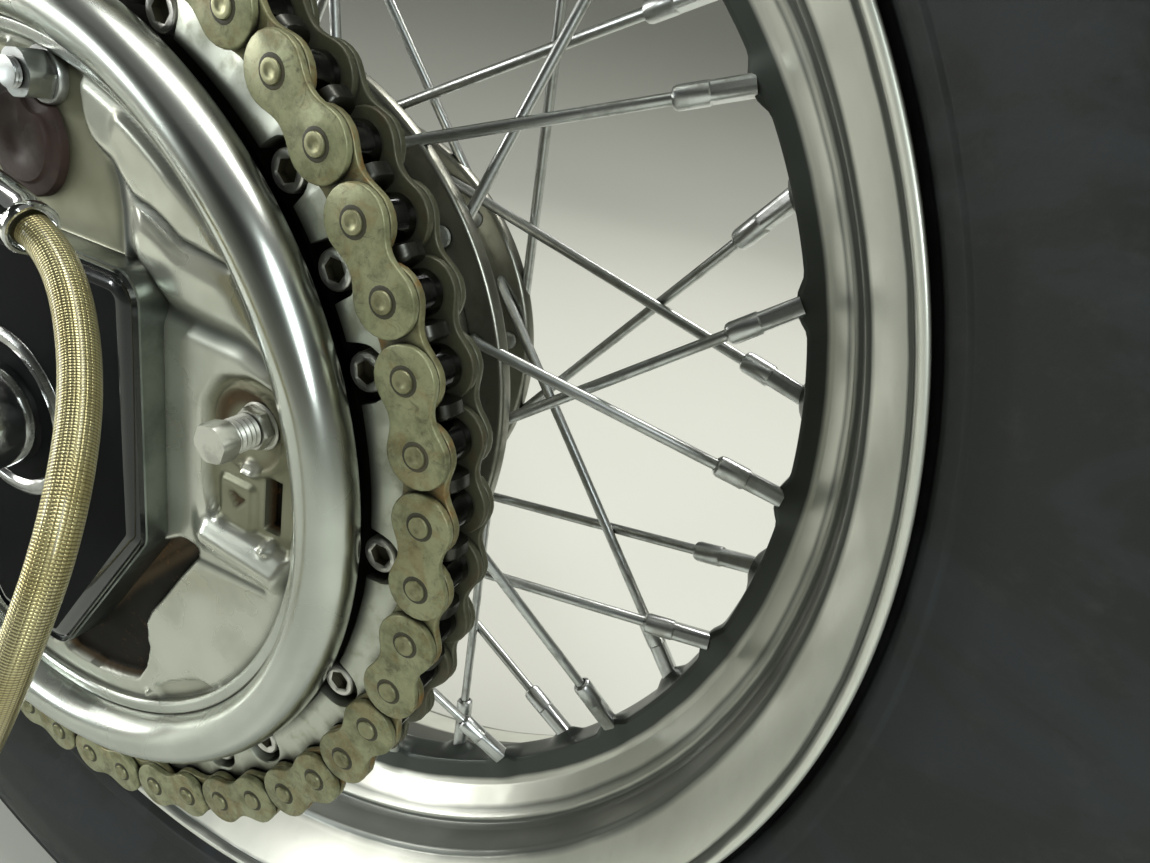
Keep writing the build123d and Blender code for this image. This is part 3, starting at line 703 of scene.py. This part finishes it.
def make_sprocket():
    angles, outer = tooth_outline()
    inner = np.full(len(angles), SPROCKET_STEP_R)
    for bolt in BOLT_ANGLES:
        d = np.radians((angles - bolt + 180) % 360 - 180)
        reach = BOLT_SEAT_R ** 2 - (BOLT_CIRCLE_R * np.sin(d)) ** 2
        cut = BOLT_CIRCLE_R * np.cos(d) + np.sqrt(np.maximum(reach, 0))
        inner = np.where((reach > 0) & (np.abs(d) < 1), np.maximum(inner, cut), inner)
    face, back = CHAIN_Y - TOOTH_T / 2, CHAIN_Y + TOOTH_T / 2
    lip = back - SPROCKET_LIP_T
    bore = np.full(len(angles), SPROCKET_BORE_R)
    rows = [
        (inner, lip), (inner, face + 0.5), (inner + 0.5, face), (np.minimum(outer - 2.6, OILY_R), face),
        (outer - 1.9, face + 0.3), (outer - 1.2, face + 0.75), (outer - 0.6, face + 1.35),
        (outer - 0.2, face + 2.1), (outer, face + 3), (outer, back - 2.4), (outer - 1.4, back - 0.7),
        (np.minimum(outer - 1.6, OILY_R), back), (bore, back), (bore, lip + 0.4), (bore + 0.4, lip),
    ]
    a = np.radians(angles)
    verts = np.concatenate([np.stack([r * np.cos(a), 0 * a + y, r * np.sin(a)], -1) for r, y in rows])
    slots = [1 if 3 <= row <= 9 else 0 for row in range(len(rows)) for _ in a]
    ring = Piece("sprocket_ring").add((verts, skin(len(rows), len(a), closed=True)), slots)
    ring.make([SPROCKET_STEEL, TOOTH_STEEL], "sprocket", "sprocket", sharp=42)

    bolts = Piece("sprocket_bolts")
    steps = 24
    depth = lip - face
    shape = [
        (0, 4.6), (depth - 1.9, 4.6), (depth - 1.3, 4.45), (depth - 1, 4.1), (depth - 0.95, 3.2),
        (depth - 1.3, 9, 2.4), (depth - 3.4, 9, 2.3), (depth - 3.6, 0.1),
    ]
    # Slot 1, the socket's walls and floor, is painted shade.
    slots = [0] * (5 * steps) + [1] * (2 * steps)
    for bolt in BOLT_ANGLES:
        seat = polar(BOLT_CIRCLE_R, bolt, lip)
        bolts.add(bar(seat, LEFT, shape, sides=6, steps=steps, turn=bolt * 7, caps=False), slots)
    bolts.make([SOCKET_STEEL, GREASE_AND_SHADE], "sprocket", sharp=34)


def link_outline(k):
    """Waisted plate from pin k to pin k + 1, as (x, z)."""
    a, b = (polar(PITCH_R, FIRST_PIN - pin * GAP_STEP) for pin in (k, k + 1))
    along = (b - a).normalized()
    side = Vector((-along.z, 0, along.x))
    run = (b - a).length
    upper, lower = [], []
    for i in range(13):
        s = run * i / 12
        half = PLATE_END_R - (PLATE_END_R - PLATE_WAIST) * math.sin(math.pi * s / run) ** 2
        upper.append(a + along * s + side * half)
        lower.append(a + along * s - side * half)

    def end(centre, way):
        turns = [math.pi / 2 - math.pi * i / 12 for i in range(1, 12)]
        return [centre + (along * math.cos(t) + side * math.sin(t)) * PLATE_END_R * way for t in turns]

    return [(p.x, p.z) for p in upper + end(b, 1) + lower[::-1] + end(a, -1)]


def make_chain():
    outer, inner, pins, rollers = (
        Piece("chain_" + n) for n in ("outer_plates", "inner_plates", "pins", "rollers"))
    collar = [(-1, 3.35), (0.02, 3.35), (0.1, 3.2), (0.12, 2.6)]
    head = [(-1, 2.5), (0.35, 2.5), (0.6, 2.35), (0.7, 1.7), (0.62, 1.2), (0.45, 0.9), (0.4, 0.2)]
    half = INNER_LOW - 0.2
    roller = [(0, 4.4), (0.05, ROLLER_R - 0.4), (0.5, ROLLER_R)]
    roller += [(2 * half - 0.5, ROLLER_R), (2 * half - 0.05, 4.7), (2 * half, 4.4)]
    for k in range(TEETH):
        outline = link_outline(k)
        low, high, piece = (OUTER_LOW, OUTER_HIGH, outer) if k % 2 else (INNER_LOW, INNER_HIGH, inner)
        piece.add(slab(outline, CHAIN_Y - high, CHAIN_Y - low, PLATE_BEVEL, 2))
        piece.add(slab(outline, CHAIN_Y + low, CHAIN_Y + high, PLATE_BEVEL, 2))
        at = polar(PITCH_R, FIRST_PIN - k * GAP_STEP, CHAIN_Y)
        for out in (LEFT, RIGHT):
            # Slot 1, the collar round each pin's foot, is painted shade in the groove.
            pins.add(bar(at + out * OUTER_HIGH, out, collar, steps=20), 1)
            pins.add(bar(at + out * OUTER_HIGH, out, head, steps=20))
        rollers.add(bar(at + LEFT * half, RIGHT, roller, steps=28))
    outer.make(OUTER_PLATE, "chain", "drive_chain", sharp=50)
    inner.make(INNER_PLATE, "chain", "drive_chain", sharp=50)
    pins.make([PIN_STEEL, GREASE_AND_SHADE], "chain", "drive_chain")
    rollers.make(ROLLER_STEEL, "chain", "drive_chain")


def line_distance(x, z, points):
    """Distance to a line of points."""
    best = np.full(x.shape, 1e9)
    for (x0, z0), (x1, z1) in zip(points, points[1:]):
        dx, dz = x1 - x0, z1 - z0
        t = np.clip(((x - x0) * dx + (z - z0) * dz) / (dx * dx + dz * dz + 1e-12), 0, 1)
        best = np.minimum(best, np.hypot(x - x0 - t * dx, z - z0 - t * dz))
    return best


def signed_distance(x, z, outline):
    """Distance to a closed outline, negative inside."""
    inside = np.zeros(x.shape, bool)
    for (x0, z0), (x1, z1) in zip(outline, outline[1:] + outline[:1]):
        inside ^= ((z0 > z) != (z1 > z)) & (x < (x1 - x0) * (z - z0) / (z1 - z0 or 1e-12) + x0)
    away = line_distance(x, z, outline + outline[:1])
    return np.where(inside, -away, away)


def step_in(distance, width):
    """0 outside an outline, 1 once width inside it, with a smooth wall."""
    t = np.clip(-distance / width, 0, 1)
    return t * t * (3 - 2 * t)


def ridge(distance, width, far_width=None):
    """1 on a line, fading over a width on each side of it."""
    return np.exp(-(distance / np.where(distance > 0, width, far_width or width)) ** 2)


# The plate's face, whose left half mirrors its right one. Outlines are (x, z, corner radius).
UPPER_LINE = [
    (25, 91), (24.4, 84.3, 8), (25.5, 78.3, 6), (27.8, 74.5, 5), (32.6, 71.9, 10), (37.2, 68, 10),
    (41.2, 64.9, 5), (46.6, 63.8, 10), (51.2, 61.9, 10), (55.8, 59.2, 5), (63.4, 58.2, 10), (69, 57.4),
]
MIDDLE_LINE = [(33.8, 70), (35.8, 66, 6), (36.6, 61, 10), (36.8, 54.4, 10), (38.2, 51)]
LOWER_LINE = [
    (39.7, 49.2), (45.2, 44.6, 8), (51, 41.6, 8), (61.3, 41, 20), (73.6, 40.8, 10), (82.6, 37.3, 10),
    (89, 33),
]
UPPER_PANEL = UPPER_LINE + [(80, 52), (62, 72), (40, 88)]
MIDDLE_PANEL = UPPER_LINE[6:] + [(73, 55), (91, 32)] + LOWER_LINE[-2::-1] + [(38.2, 51.4, 2), (37.6, 57, 8)]
CAP_BAY = UPPER_LINE[:5] + [(35, 67, 6), (36, 61, 10), (36.2, 54.4, 6), (36.6, 49), (0, 49), (0, 91)]
BOLT_BAY = [
    (61.2, 23.2, 8), (61.2, 4.3, 8), (62.2, -2.8, 5), (64, -7.2, 4), (69.9, -8.5, 8), (84.2, -9.3, 8),
    (90.5, -10.2, 2), (91.6, 0, 40), (90.6, 14, 40), (88.4, 26, 10), (84.6, 33.5, 6), (76, 35, 8),
    (66, 32, 8),
]
# The bay below the carrier: rust, deepening to near-black painted shadow inside it.
DARK_BAY = [
    (61.6, -18.6, 2), (54, -18.2, 6), (40, -27, 6), (25.2, -49, 10), (10, -69, 10), (0, -80, 4),
    (2, -84.8, 4), (8.8, -84.4, 10), (18, -83.9, 10), (27.2, -81.6, 8), (35.3, -78.3, 5),
    (39.4, -71.2, 6), (41, -63.6, 10), (39.9, -54.5, 5), (42.2, -49.4, 6), (47.8, -41.4, 8),
    (54.2, -31.4, 8), (60.4, -22.6, 2),
]
LENS = [(40.5, -77, 3), (47, -70.6, 8), (59.1, -62.8, 5), (64.2, -62.2, 4), (66.5, -64.8, 3),
        (61.1, -71.8, 12), (46, -83, 4)]
BLOCK = [(49.5, 50.5, 7), (49.5, -20, 7), (14, -72, 7), (-14, -72, 7), (-49.5, -20, 7), (-49.5, 50.5, 7)]
PAD = [(65.5, 5.8, 2), (78, 5.8, 2), (78, -8, 2), (65.5, -8, 2)]
MARK = [(68.6, 2.6), (75.4, 1.1), (72, -2.8)]
SLOT = [(80.3, 9.4), (85.2, 9.4), (85.2, -5), (80.3, -5)]
STREAK = [(59.4, -17), (46.2, -29.7), (29.4, -46.4), (20.1, -57.3)]
BAYS = [(CAP_BAY, 1.5, 1.6), (BOLT_BAY, 2.4, 2.4), (DARK_BAY, 3.6, 1.5)]  # outline, depth, wall's width
SEAMS = [  # points, depth, half width, painted shade
    (UPPER_LINE, 0.7, 1.1, 1), (MIDDLE_LINE, 1, 2.5, 0.95), (LOWER_LINE, 1.6, 2.6, 0.85),
    ([(60, -22.6), (83, -21.2)], 0.5, 1, 0.8),
]
BOSSES = [(83.2, -8.2, 1.9), (76.6, 10.4, 3), (40.4, -80, 1.8), (68.8, -61.6, 1.4)]  # x, z, radius
BOLT_RING = (75.7, 20, 10.4)
FOLD_R = 90.4
CREST_RISE = 3.2


def plate_front(x, z):
    """The plate's face: its y at each point, and levels of painted seam shade, oil, and rust that deepens into
    painted shadow there.
    """
    def corners(points, way=1, closed=True):
        return rounded([(px * way, pz, *r) for px, pz, *r in points], 4, closed)

    def inside(points, width, way=1):
        return step_in(signed_distance(x, z, corners(points, way)), width)

    radius = np.hypot(x, z)
    y = np.full(x.shape, FACE_Y)
    seam, oil, rust = (np.zeros(x.shape) for _ in range(3))
    for way in (1, -1):
        y = y - 0.9 * inside(UPPER_PANEL, 1.3, way) - 1.1 * inside(MIDDLE_PANEL, 6, way)
        turn = np.degrees(np.arctan2(z, way * x))
        fold = ridge(radius - FOLD_R, 1.2, 5) * np.clip((turn - 46) / 8, 0, 1)
        y = y - 1.3 * fold * np.clip((66.5 - turn) / 2, 0, 1)
        crest = ridge(z + 12.4 + (way * x - 64) * 0.09, 3.6, 4.2)
        y = y - CREST_RISE * crest * np.clip((way * x - 59) / 5, 0, 1) * np.clip((92.4 - radius) / 3, 0, 1)
        for points, depth, width in BAYS:
            y = y + (FACE_Y + depth - y) * inside(points, width, way)
        for points, depth, width, level in SEAMS:
            line = ridge(line_distance(x, z, corners(points, way, False)), width)
            y = y + depth * line
            seam = np.maximum(seam, level * line)
        oil = np.maximum(oil, 0.95 * inside(CAP_BAY, 2, way))
        # Rust at 1 in the dark bay: painted shadow below the carrier.
        rust = np.maximum(rust, inside(DARK_BAY, 1.4, way))
    y = y + 0.8 * ridge(radius - 91.6, 1.2)
    # A line of painted shade round the bead's foot.
    seam = np.maximum(seam, 0.6 * ridge(radius - 91.8, 1.1))

    y = y + 1.1 * inside(LENS, 2)
    ring_x, ring_z, ring_r = BOLT_RING
    ring = np.hypot(x - ring_x, z - ring_z)
    y = y - 1.5 * ridge(ring - ring_r, 1) - 0.8 * np.clip((9.6 - ring) / 1.2, 0, 1)
    y = y - 1.2 * inside(PAD, 1.6) + 1.2 * inside(MARK, 0.9) + 3.6 * inside(SLOT, 0.8)
    oil = np.maximum(oil, np.maximum(inside(BOLT_BAY, 2), 0.55 * inside(LENS, 3)))
    for boss_x, boss_z, boss_r in BOSSES:
        boss = np.clip((boss_r - np.hypot(x - boss_x, z - boss_z)) / 1.2, 0, 1)
        y = y - 1.5 * boss
        oil = oil * (1 - boss)
    stain = ridge(ring - 8.4, 2.4) * np.clip(0.45 + (z - 18 - (x - 70) * 0.7) / 30, 0.25, 0.75)
    # The stain and the mark are rust; the slot's full level paints shade inside it.
    for patch in (stain, 0.6 * inside(MARK, 0.6), inside(SLOT, 0.6)):
        rust = np.maximum(rust, patch)
    for way in (1, -1):
        streak = line_distance(x, z, corners(STREAK, way))
        rust = rust - 0.2 * rust * ridge(streak - 1.5, 2)
    block = signed_distance(x, z, corners(BLOCK))
    y = y + (FACE_Y - y) * step_in(block + 1, 2.6)
    return y, seam, np.clip(oil, 0, 1), np.clip(rust, 0, 1)


def make_plate():
    step, edge_r, back_y = 0.75, 93.4, -96
    span = np.arange(-94.5, 94.6, step)
    x, z = np.meshgrid(span, span, indexing="ij")
    radius = np.hypot(x, z)
    keep = radius < edge_r + step * 0.75
    squeeze = np.where(radius > edge_r, edge_r / np.maximum(radius, 1e-6), 1)
    x, z = x * squeeze, z * squeeze
    y, seam, oil, rust = plate_front(x, z)
    slope = np.hypot(*np.gradient(y, step))
    # wall: painted shade on steep slopes and along the seams.
    wall = np.maximum(0.35 * np.clip((slope - 0.9) / 0.8, 0, 1), seam)
    index = -np.ones(x.shape, int)
    index[keep] = np.arange(keep.sum())
    quads = np.stack([index[:-1, :-1], index[1:, :-1], index[1:, 1:], index[:-1, 1:]], -1).reshape(-1, 4)
    faces = quads[quads.min(1) >= 0].tolist()
    web = Piece("plate_web").add((np.stack([x[keep], y[keep], z[keep]], -1), faces))
    web.add(lathe([(10.2, back_y), (10.2, back_y - 1.5), (97, back_y - 1.5), (97, back_y)], 128))
    obj = web.make(PLATE_METAL, "brake_plate", "brake_plate", sharp=60)
    zones = obj.data.color_attributes.new("zones", "FLOAT_COLOR", "POINT")
    for row, levels in zip(zones.data, zip(wall[keep], oil[keep], rust[keep])):
        row.color = (*levels, 1)

    tube_r = (BEAD_OUT_R - BEAD_IN_R) / 2
    profile = [(95.8, -98), (BEAD_IN_R, -103, 0.6)]
    for k in range(17):
        a = math.pi * (1 - k / 16)
        profile.append((BEAD_IN_R + tube_r * (1 + math.cos(a)), FACE_Y - BEAD_RISE * math.sin(a)))
    profile += [(110.3, -102.6, 0.8), (108.6, -102.4, 0.6), (99, -102.6), (98, -98)]
    foot = [(92, -100), (92, -104.6, 0.7), (92.9, -105.4, 0.6), (95.2, -105.6, 0.6), (96.2, -104.6, 0.6),
            (96.2, -100)]
    bead = Piece("plate_bead").add(lathe(profile, 420)).add(lathe(foot, 300))
    bead.make(BEAD_METAL, "brake_plate", "brake_plate", sharp=50)

    low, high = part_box("hose_block")
    x, z = ((low[i] + high[i]) / 2 / MM for i in (0, 2))
    corners = [(x + dx, z + dz, 1.5) for dx, dz in ((-6, -6), (6, -6), (6, 6), (-6, 6))]
    lug = Piece("plate_lug").add(slab(rounded(corners, 3), -127.8, -98, 0.8, 2))
    lug.make(PLATE_METAL, "brake_plate", "brake_plate")


def make_carrier():
    piece = Piece("carrier_block").add(slab(rounded(BLOCK, 8), -110.4, -99.5, 0.5, 1), 2)
    front = rounded([(x * 0.994, z * 0.994, r) for x, z, r in BLOCK], 8)
    verts, faces = slab(front, CARRIER_FRONT_Y - 0.2, -107, 4.6, 8)
    piece.add((verts, faces[:-2])).add((verts, faces[-2:]), 3)
    ring = [(19.4, -110), (24, -110), (24, -112.4, 0.8), (22.4, -113.4, 1), (20.6, -113.4, 0.8),
            (19.4, -112.2, 0.5)]
    piece.add(lathe(ring, 96), 1)
    piece.make([CARRIER_PAINT, AXLE_STEEL, CARRIER_WALL, CARRIER_FACE], "carrier", "axle_carrier")


def make_axle():
    low, high = AXLE_ENDS
    body = [
        (5, low), (9, low), (9.5, low + 0.5), (9.5, SPACER_END_Y), (10, SPACER_END_Y + 0.5), (10, 82),
        (9.5, 82.5), (9.5, high - 0.5), (9, high), (5, high),
    ]
    Piece("axle_bar").add(lathe(body, 96)).make(AXLE_STEEL, "axle", "axle")
    thread = Piece("axle_threads")
    turns, pitch, sides = 7, 1.5, 48
    for low in (-157.4, 92):
        verts, faces = [], []
        for i in range(turns * sides + 1):
            for r, dy in ((9.45, 0), (10, 0.45), (9.45, 0.9)):
                verts.append(polar(r, 360 * i / sides, low + pitch * i / sides + dy))
        for i in range(turns * sides):
            for k in (i * 3, i * 3 + 1):
                faces.append((k, k + 1, k + 4, k + 3))
        thread.add((verts, faces))
    thread.make(AXLE_STEEL, "axle", recalc=False)
    near = [(BORE_R, SPACER_END_Y), (14, SPACER_END_Y, 0.6), (14, -109, 2), (19, -108, 0.8),
            (19, SPACER_FOOT_Y), (BORE_R, SPACER_FOOT_Y)]
    Piece("spacer_near").add(lathe(near, 96, 4)).make(CHROME, "axle", "left_spacer")
    far = [(BORE_R, 52.6), (16, 52.6, 0.6), (16, 60, 1.5), (14.6, 62, 1.5), (14.6, 76, 1.5), (16, 78, 1.5),
           (16, 82, 0.6), (BORE_R, 82)]
    Piece("spacer_far").add(lathe(far, 96, 4)).make(AXLE_STEEL, "axle", "right_spacer")
    nut = [(0, 14.4, 14.2), (1.2, 17.4, 15), (13.4, 17.4, 15), (14, 16.4, 15), (NUT_LENGTH, 16.4, 15.8)]
    start = (0, SPACER_END_Y - NUT_LENGTH, 0)
    Piece("nut_near").add(bar(start, RIGHT, nut, 6, 48)).make(ZINC, "axle", "axle_nut")


def make_anchor():
    x, z = ANCHOR
    nut = Piece("anchor_nut_hex")
    nut.add(bar((x, -100.6, z), LEFT, [(0, 5.8), (2.4, 5.8), (2.8, 5.4)], steps=32))
    hexagon = [(0, 4.9, 4.5), (0.4, 5.2, 4.5), (2.4, 5.2, 4.5), (2.9, 4.6, 4.5)]
    nut.add(bar((x, -103.1, z), LEFT, hexagon, 6, 36))
    nut.make(ZINC, "zinc", "anchor_nut")
    threads = [(k * 0.65, 4.15 if k % 2 else 3.7) for k in range(10)] + [(6.7, 3.7)]
    head = [(0, 4.5, 4.2), (0.3, 5, 4.2), (4.3, 5, 4.2), (4.7, 4.5, 4.2)]
    bolt = Piece("anchor_bolt_hex").add(bar((x, -105.8, z), LEFT, threads, steps=28))
    bolt.add(bar((x, -112.2, z), LEFT, head, 6, 36, 12)).make(ZINC, "zinc", "anchor_bolt")


def make_cap():
    """The round cap, cut away beside the stud's washer."""
    gap = STUD - CAP
    rim = []
    for k in range(96):
        a = 2 * math.pi * k / 96
        along = gap.x * math.cos(a) + gap.y * math.sin(a)
        room = CAP_NOTCH_R ** 2 - gap.length ** 2 + along ** 2
        reach = min(CAP_R, along - math.sqrt(room)) if along > 0 and room > 0 else CAP_R
        rim.append((reach * math.cos(a), reach * math.sin(a)))
    rows = [
        (1, -100.5), (1, -103.9), (0.98, -104.5), (0.93, -104.8), (0.8, -104.9), (0.76, -105.2),
        (0.73, -105.8), (0.66, -106), (0.3, -106), (0.26, -105.6), (0.02, -105.5),
    ]
    verts = [(CAP.x + share * x, y, CAP.y + share * z) for share, y in rows for x, z in rim]
    disc = verts, skin(len(rows), len(rim), caps=True)
    Piece("cap_disc").add(disc).make(CAP_PAINT, "cap", "inspection_cap")


def make_fittings():
    x, z = STUD
    stud = Piece("stud_nut_hex")
    stud.add(bar((x, -101, z), LEFT, [(0, 6.3), (3.2, 6.3), (3.6, 6)], steps=40))
    nut = [(0, 5.4, 5), (0.6, 5.8, 5), (5.2, 5.8, 5), (6, 5.3, 5)]
    stud.add(bar((x, -104.4, z), LEFT, nut, 6, 36, 8))
    thread = [(0, 2.9)] + [(0.4 * k, 2.9 if k % 2 else 3.3) for k in range(1, 7)] + [(2.5, 2.4)]
    stud.add(bar((x, -110, z), LEFT, thread, steps=20)).make(NIPPLE_STEEL, "zinc", "stud_nut")

    x, z = INLET
    shape = [(0, 6.5), (10.8, 6.5), (11.2, 8, 7.4), (12, 8.5, 7.4), (20.8, 8.5, 7.4), (21.5, 7.6, 7.4)]
    union = Piece("inlet_union_body").add(bar((x, -100.5, z), LEFT, shape, 6, 36))
    union.make(ZINC, "zinc", "inlet_union")
    start, after = HOSE_POINTS[:2]
    heading = (after - start).normalized()
    neck_end = start - heading * FERRULE_LENGTH
    inlet = Vector((x, BANJO_Y, z))
    way = (neck_end - inlet).normalized()
    length = (neck_end - inlet).length
    banjo = Piece("banjo_eye").add(bar(inlet + LEFT * 6, RIGHT, [(0, 7.6), (0.8, 8.5), (11.2, 8.5), (12, 7.6)],
                                       steps=40))
    banjo.add(bar(inlet + way * 4, way, [(0, 5.6), (5, 4.2), (length - 4, 4.2)]))
    banjo.make(CHROME, "fitting", "banjo")
    shape = [(0, 7.8), (1, 7.8), (1.2, 8, 6.9), (5.2, 8, 6.9), (6, 6.8, 6.9)]
    bolt = Piece("banjo_bolt_hex").add(bar(inlet + LEFT * 6, LEFT, shape, 6, 36))
    bolt.make(ZINC, "zinc", "banjo_bolt")

    upper = [
        (0, 4), (0.3, 5, 4.8), (5.6, 5.5, 4.8), (6.2, 4.6), (7.4, 4.6), (8, 5.2), (11, 5.5), (19.6, 5.5),
        (20.2, 5.1), (21.4, 5.1), (22, 5.6), (23.6, 5.7), (24, 5.4), (24, 4.9), (22.6, 4.4), (22, 3.6),
    ]
    Piece("ferrule_upper").add(bar(neck_end, heading, upper, 6, 48)).make(CHROME, "fitting", "upper_ferrule")
    lower = [(2, 3.6), (1.4, 4.4), (0, 4.8), (0, 5.3), (0.4, 5.6), (2, 5.6), (2.6, 5.1), (3.8, 5.1),
             (4.4, 5.5), (11.2, 5.5), (12, 5)]
    before, end = HOSE_POINTS[-2:]
    ferrule = Piece("ferrule_lower").add(bar(end, end - before, lower, steps=40))
    ferrule.make(CHROME, "fitting", "lower_ferrule")


def hose_line(points):
    """The smooth line of the hose, as points read from a NURBS curve."""
    data = bpy.data.curves.new("hose_route", "CURVE")
    data.dimensions = "3D"
    data.resolution_u = 24
    spline = data.splines.new("NURBS")
    spline.points.add(len(points) - 1)
    for point, place in zip(spline.points, points):
        point.co = (*place, 1)
    spline.order_u = 3
    spline.use_endpoint_u = True
    holder = bpy.data.objects.new("hose_route", data)
    mesh = bpy.data.meshes.new_from_object(holder)
    line = [v.co.copy() for v in mesh.vertices]
    bpy.data.objects.remove(holder)
    bpy.data.meshes.remove(mesh)
    return line


def make_hose():
    line = hose_line(HOSE_POINTS)
    piece = Piece("hose_tube").add(tube(line, HOSE_R, HOSE_SIDES))
    mesh = piece.make(BRAID, "hose", "brake_hose", sharp=80).data
    layer = mesh.uv_layers.new(name="UVMap")
    along = [0]
    for a, b in zip(line, line[1:]):
        along.append(along[-1] + (b - a).length * MM)
    for polygon in mesh.polygons:
        places = [divmod(mesh.loops[i].vertex_index, HOSE_SIDES) for i in polygon.loop_indices]
        around = [k for _, k in places]
        wraps = max(around) - min(around) > HOSE_SIDES / 2
        for i, (ring, k) in zip(polygon.loop_indices, places):
            turn = k + HOSE_SIDES if wraps and k < HOSE_SIDES / 2 else k
            layer.data[i].uv = (along[ring], turn / HOSE_SIDES)


def make_valve():
    shape = [
        (-1, 6.8), (1.4, 6.8), (2, 6), (2.2, 6.6, 5.4), (5.4, 6.6, 5.4), (5.8, 4), (18, 4), (18.4, 4.6),
        (19, 4.8), (31, 4.8), (32.5, 4.4), (34, 2.6),
    ]
    stem = bar(polar(WELL_R, VALVE_ANGLE), -polar(1, VALVE_ANGLE), shape, 6, 30)
    Piece("valve").add(stem).make(CHROME, "nipple", "valve_stem")


def make_stage():
    """A pale bowl: flat floor with a wall that curves up all round."""
    floor_z, steps = -0.3236, 96
    rows = [(1, 0), (2.4, 0)]
    for k in range(1, 13):
        a = math.pi / 2 * k / 12
        rows.append((2.4 + 1.6 * math.sin(a), 1.6 * (1 - math.cos(a))))
    rows.append((4, 4))
    angles = [2 * math.pi * k / steps for k in range(steps)]
    verts = [(r * math.cos(a), r * math.sin(a), floor_z + z) for r, z in rows for a in angles]
    verts.append((0, 0, floor_z))
    faces = [(len(verts) - 1, k, (k + 1) % steps) for k in range(steps)]
    faces += [(a, d, c, b) for a, b, c, d in skin(len(rows), steps)]
    mesh = bpy.data.meshes.new("studio_floor")
    mesh.from_pydata(verts, [], faces)
    mesh.polygons.foreach_set("use_smooth", [True] * len(mesh.polygons))
    m = Material("studio_floor")
    height = m.place()[2]
    wall = m.ramp(height, floor_z + 0.02, floor_z + 0.7)
    ceiling = m.ramp(height, floor_z + 0.7, floor_z + 2.4)
    pale = m.mix(m.noise(400, 3, 0.5), (0.62, 0.63, 0.57), (0.66, 0.67, 0.61))
    pale = m.mix(wall, pale, (0.36, 0.37, 0.33))
    m.set(Base_Color=m.mix(ceiling, pale, (0.08, 0.085, 0.085)), Roughness=0.85)
    mesh.materials.append(m.data)
    obj = bpy.data.objects.new("studio_floor", mesh)
    link(obj)


def area_lamp(name, place, target, size, watts, colour, roll=0):
    data = bpy.data.lights.new(name, "AREA")
    data.shape = "RECTANGLE"
    data.size, data.size_y = size
    data.energy = watts
    data.color = colour
    lamp = bpy.data.objects.new(name, data)
    lamp.location = place
    facing = (Vector(target) - Vector(place)).to_track_quat("-Z", "Y").to_matrix()
    lamp.rotation_euler = (facing @ Matrix.Rotation(math.radians(roll), 3, "Z")).to_euler()
    link(lamp)


def make_lights():
    wheel = (0, 0, 0)
    area_lamp("overhead", (0.15, -0.05, 1.7), wheel, (0.26, 1.6), 16, (1, 1, 0.97), 32)
    area_lamp("right_front", (1.26, -0.83, 0.78), wheel, (0.22, 0.9), 11, (0.92, 1, 1))
    area_lamp("left_front", (-1.7, -0.72, 0.42), wheel, (0.6, 0.8), 17, (1, 1, 0.96))
    area_lamp("front", (-1.2, -1.36, 0.42), wheel, (0.2, 0.34), 5, (0.94, 1, 1))
    area_lamp("rear", (0.3, 1.7, 1.9), (0.1, 0.6, -0.3), (1.6, 0.6), 42, (1, 0.99, 0.94))
    world = bpy.data.worlds.new("studio")
    scene.world = world
    world.use_nodes = True
    back = world.node_tree.nodes["Background"]
    back.inputs["Color"].default_value = (0.8, 0.82, 0.78, 1)
    back.inputs["Strength"].default_value = 0.21


def make_camera():
    """The photograph's viewpoint, solved from the chain's pins and the rim's rings."""
    place = Vector((0.20526, -0.22631, 0.11187))
    right = Vector((0.87294, 0.44885, 0.1911))
    up = Vector((-0.34727, 0.29662, 0.88962))
    ahead = Vector((-0.34262, 0.84294, -0.4148))
    data = bpy.data.cameras.new("photo_view")
    data.sensor_width = 36
    data.lens = 25.311
    data.clip_start = 0.005
    camera = bpy.data.objects.new("photo_view", data)
    turn = Matrix((right, up, -ahead)).transposed().to_4x4()
    camera.matrix_world = Matrix.Translation(place) @ turn
    link(camera)
    scene.camera = camera


for make in (make_tyre, make_rim, make_spokes, make_hub, make_drum, make_sprocket, make_chain, make_plate,
             make_carrier, make_axle, make_anchor, make_cap, make_fittings, make_hose, make_valve):
    make()

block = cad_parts["hose_block"].data
block.materials.clear()
block.materials.append(CHROME)

make_stage()
make_lights()
make_camera()
bpy.context.scene.view_settings.view_transform = "Standard"
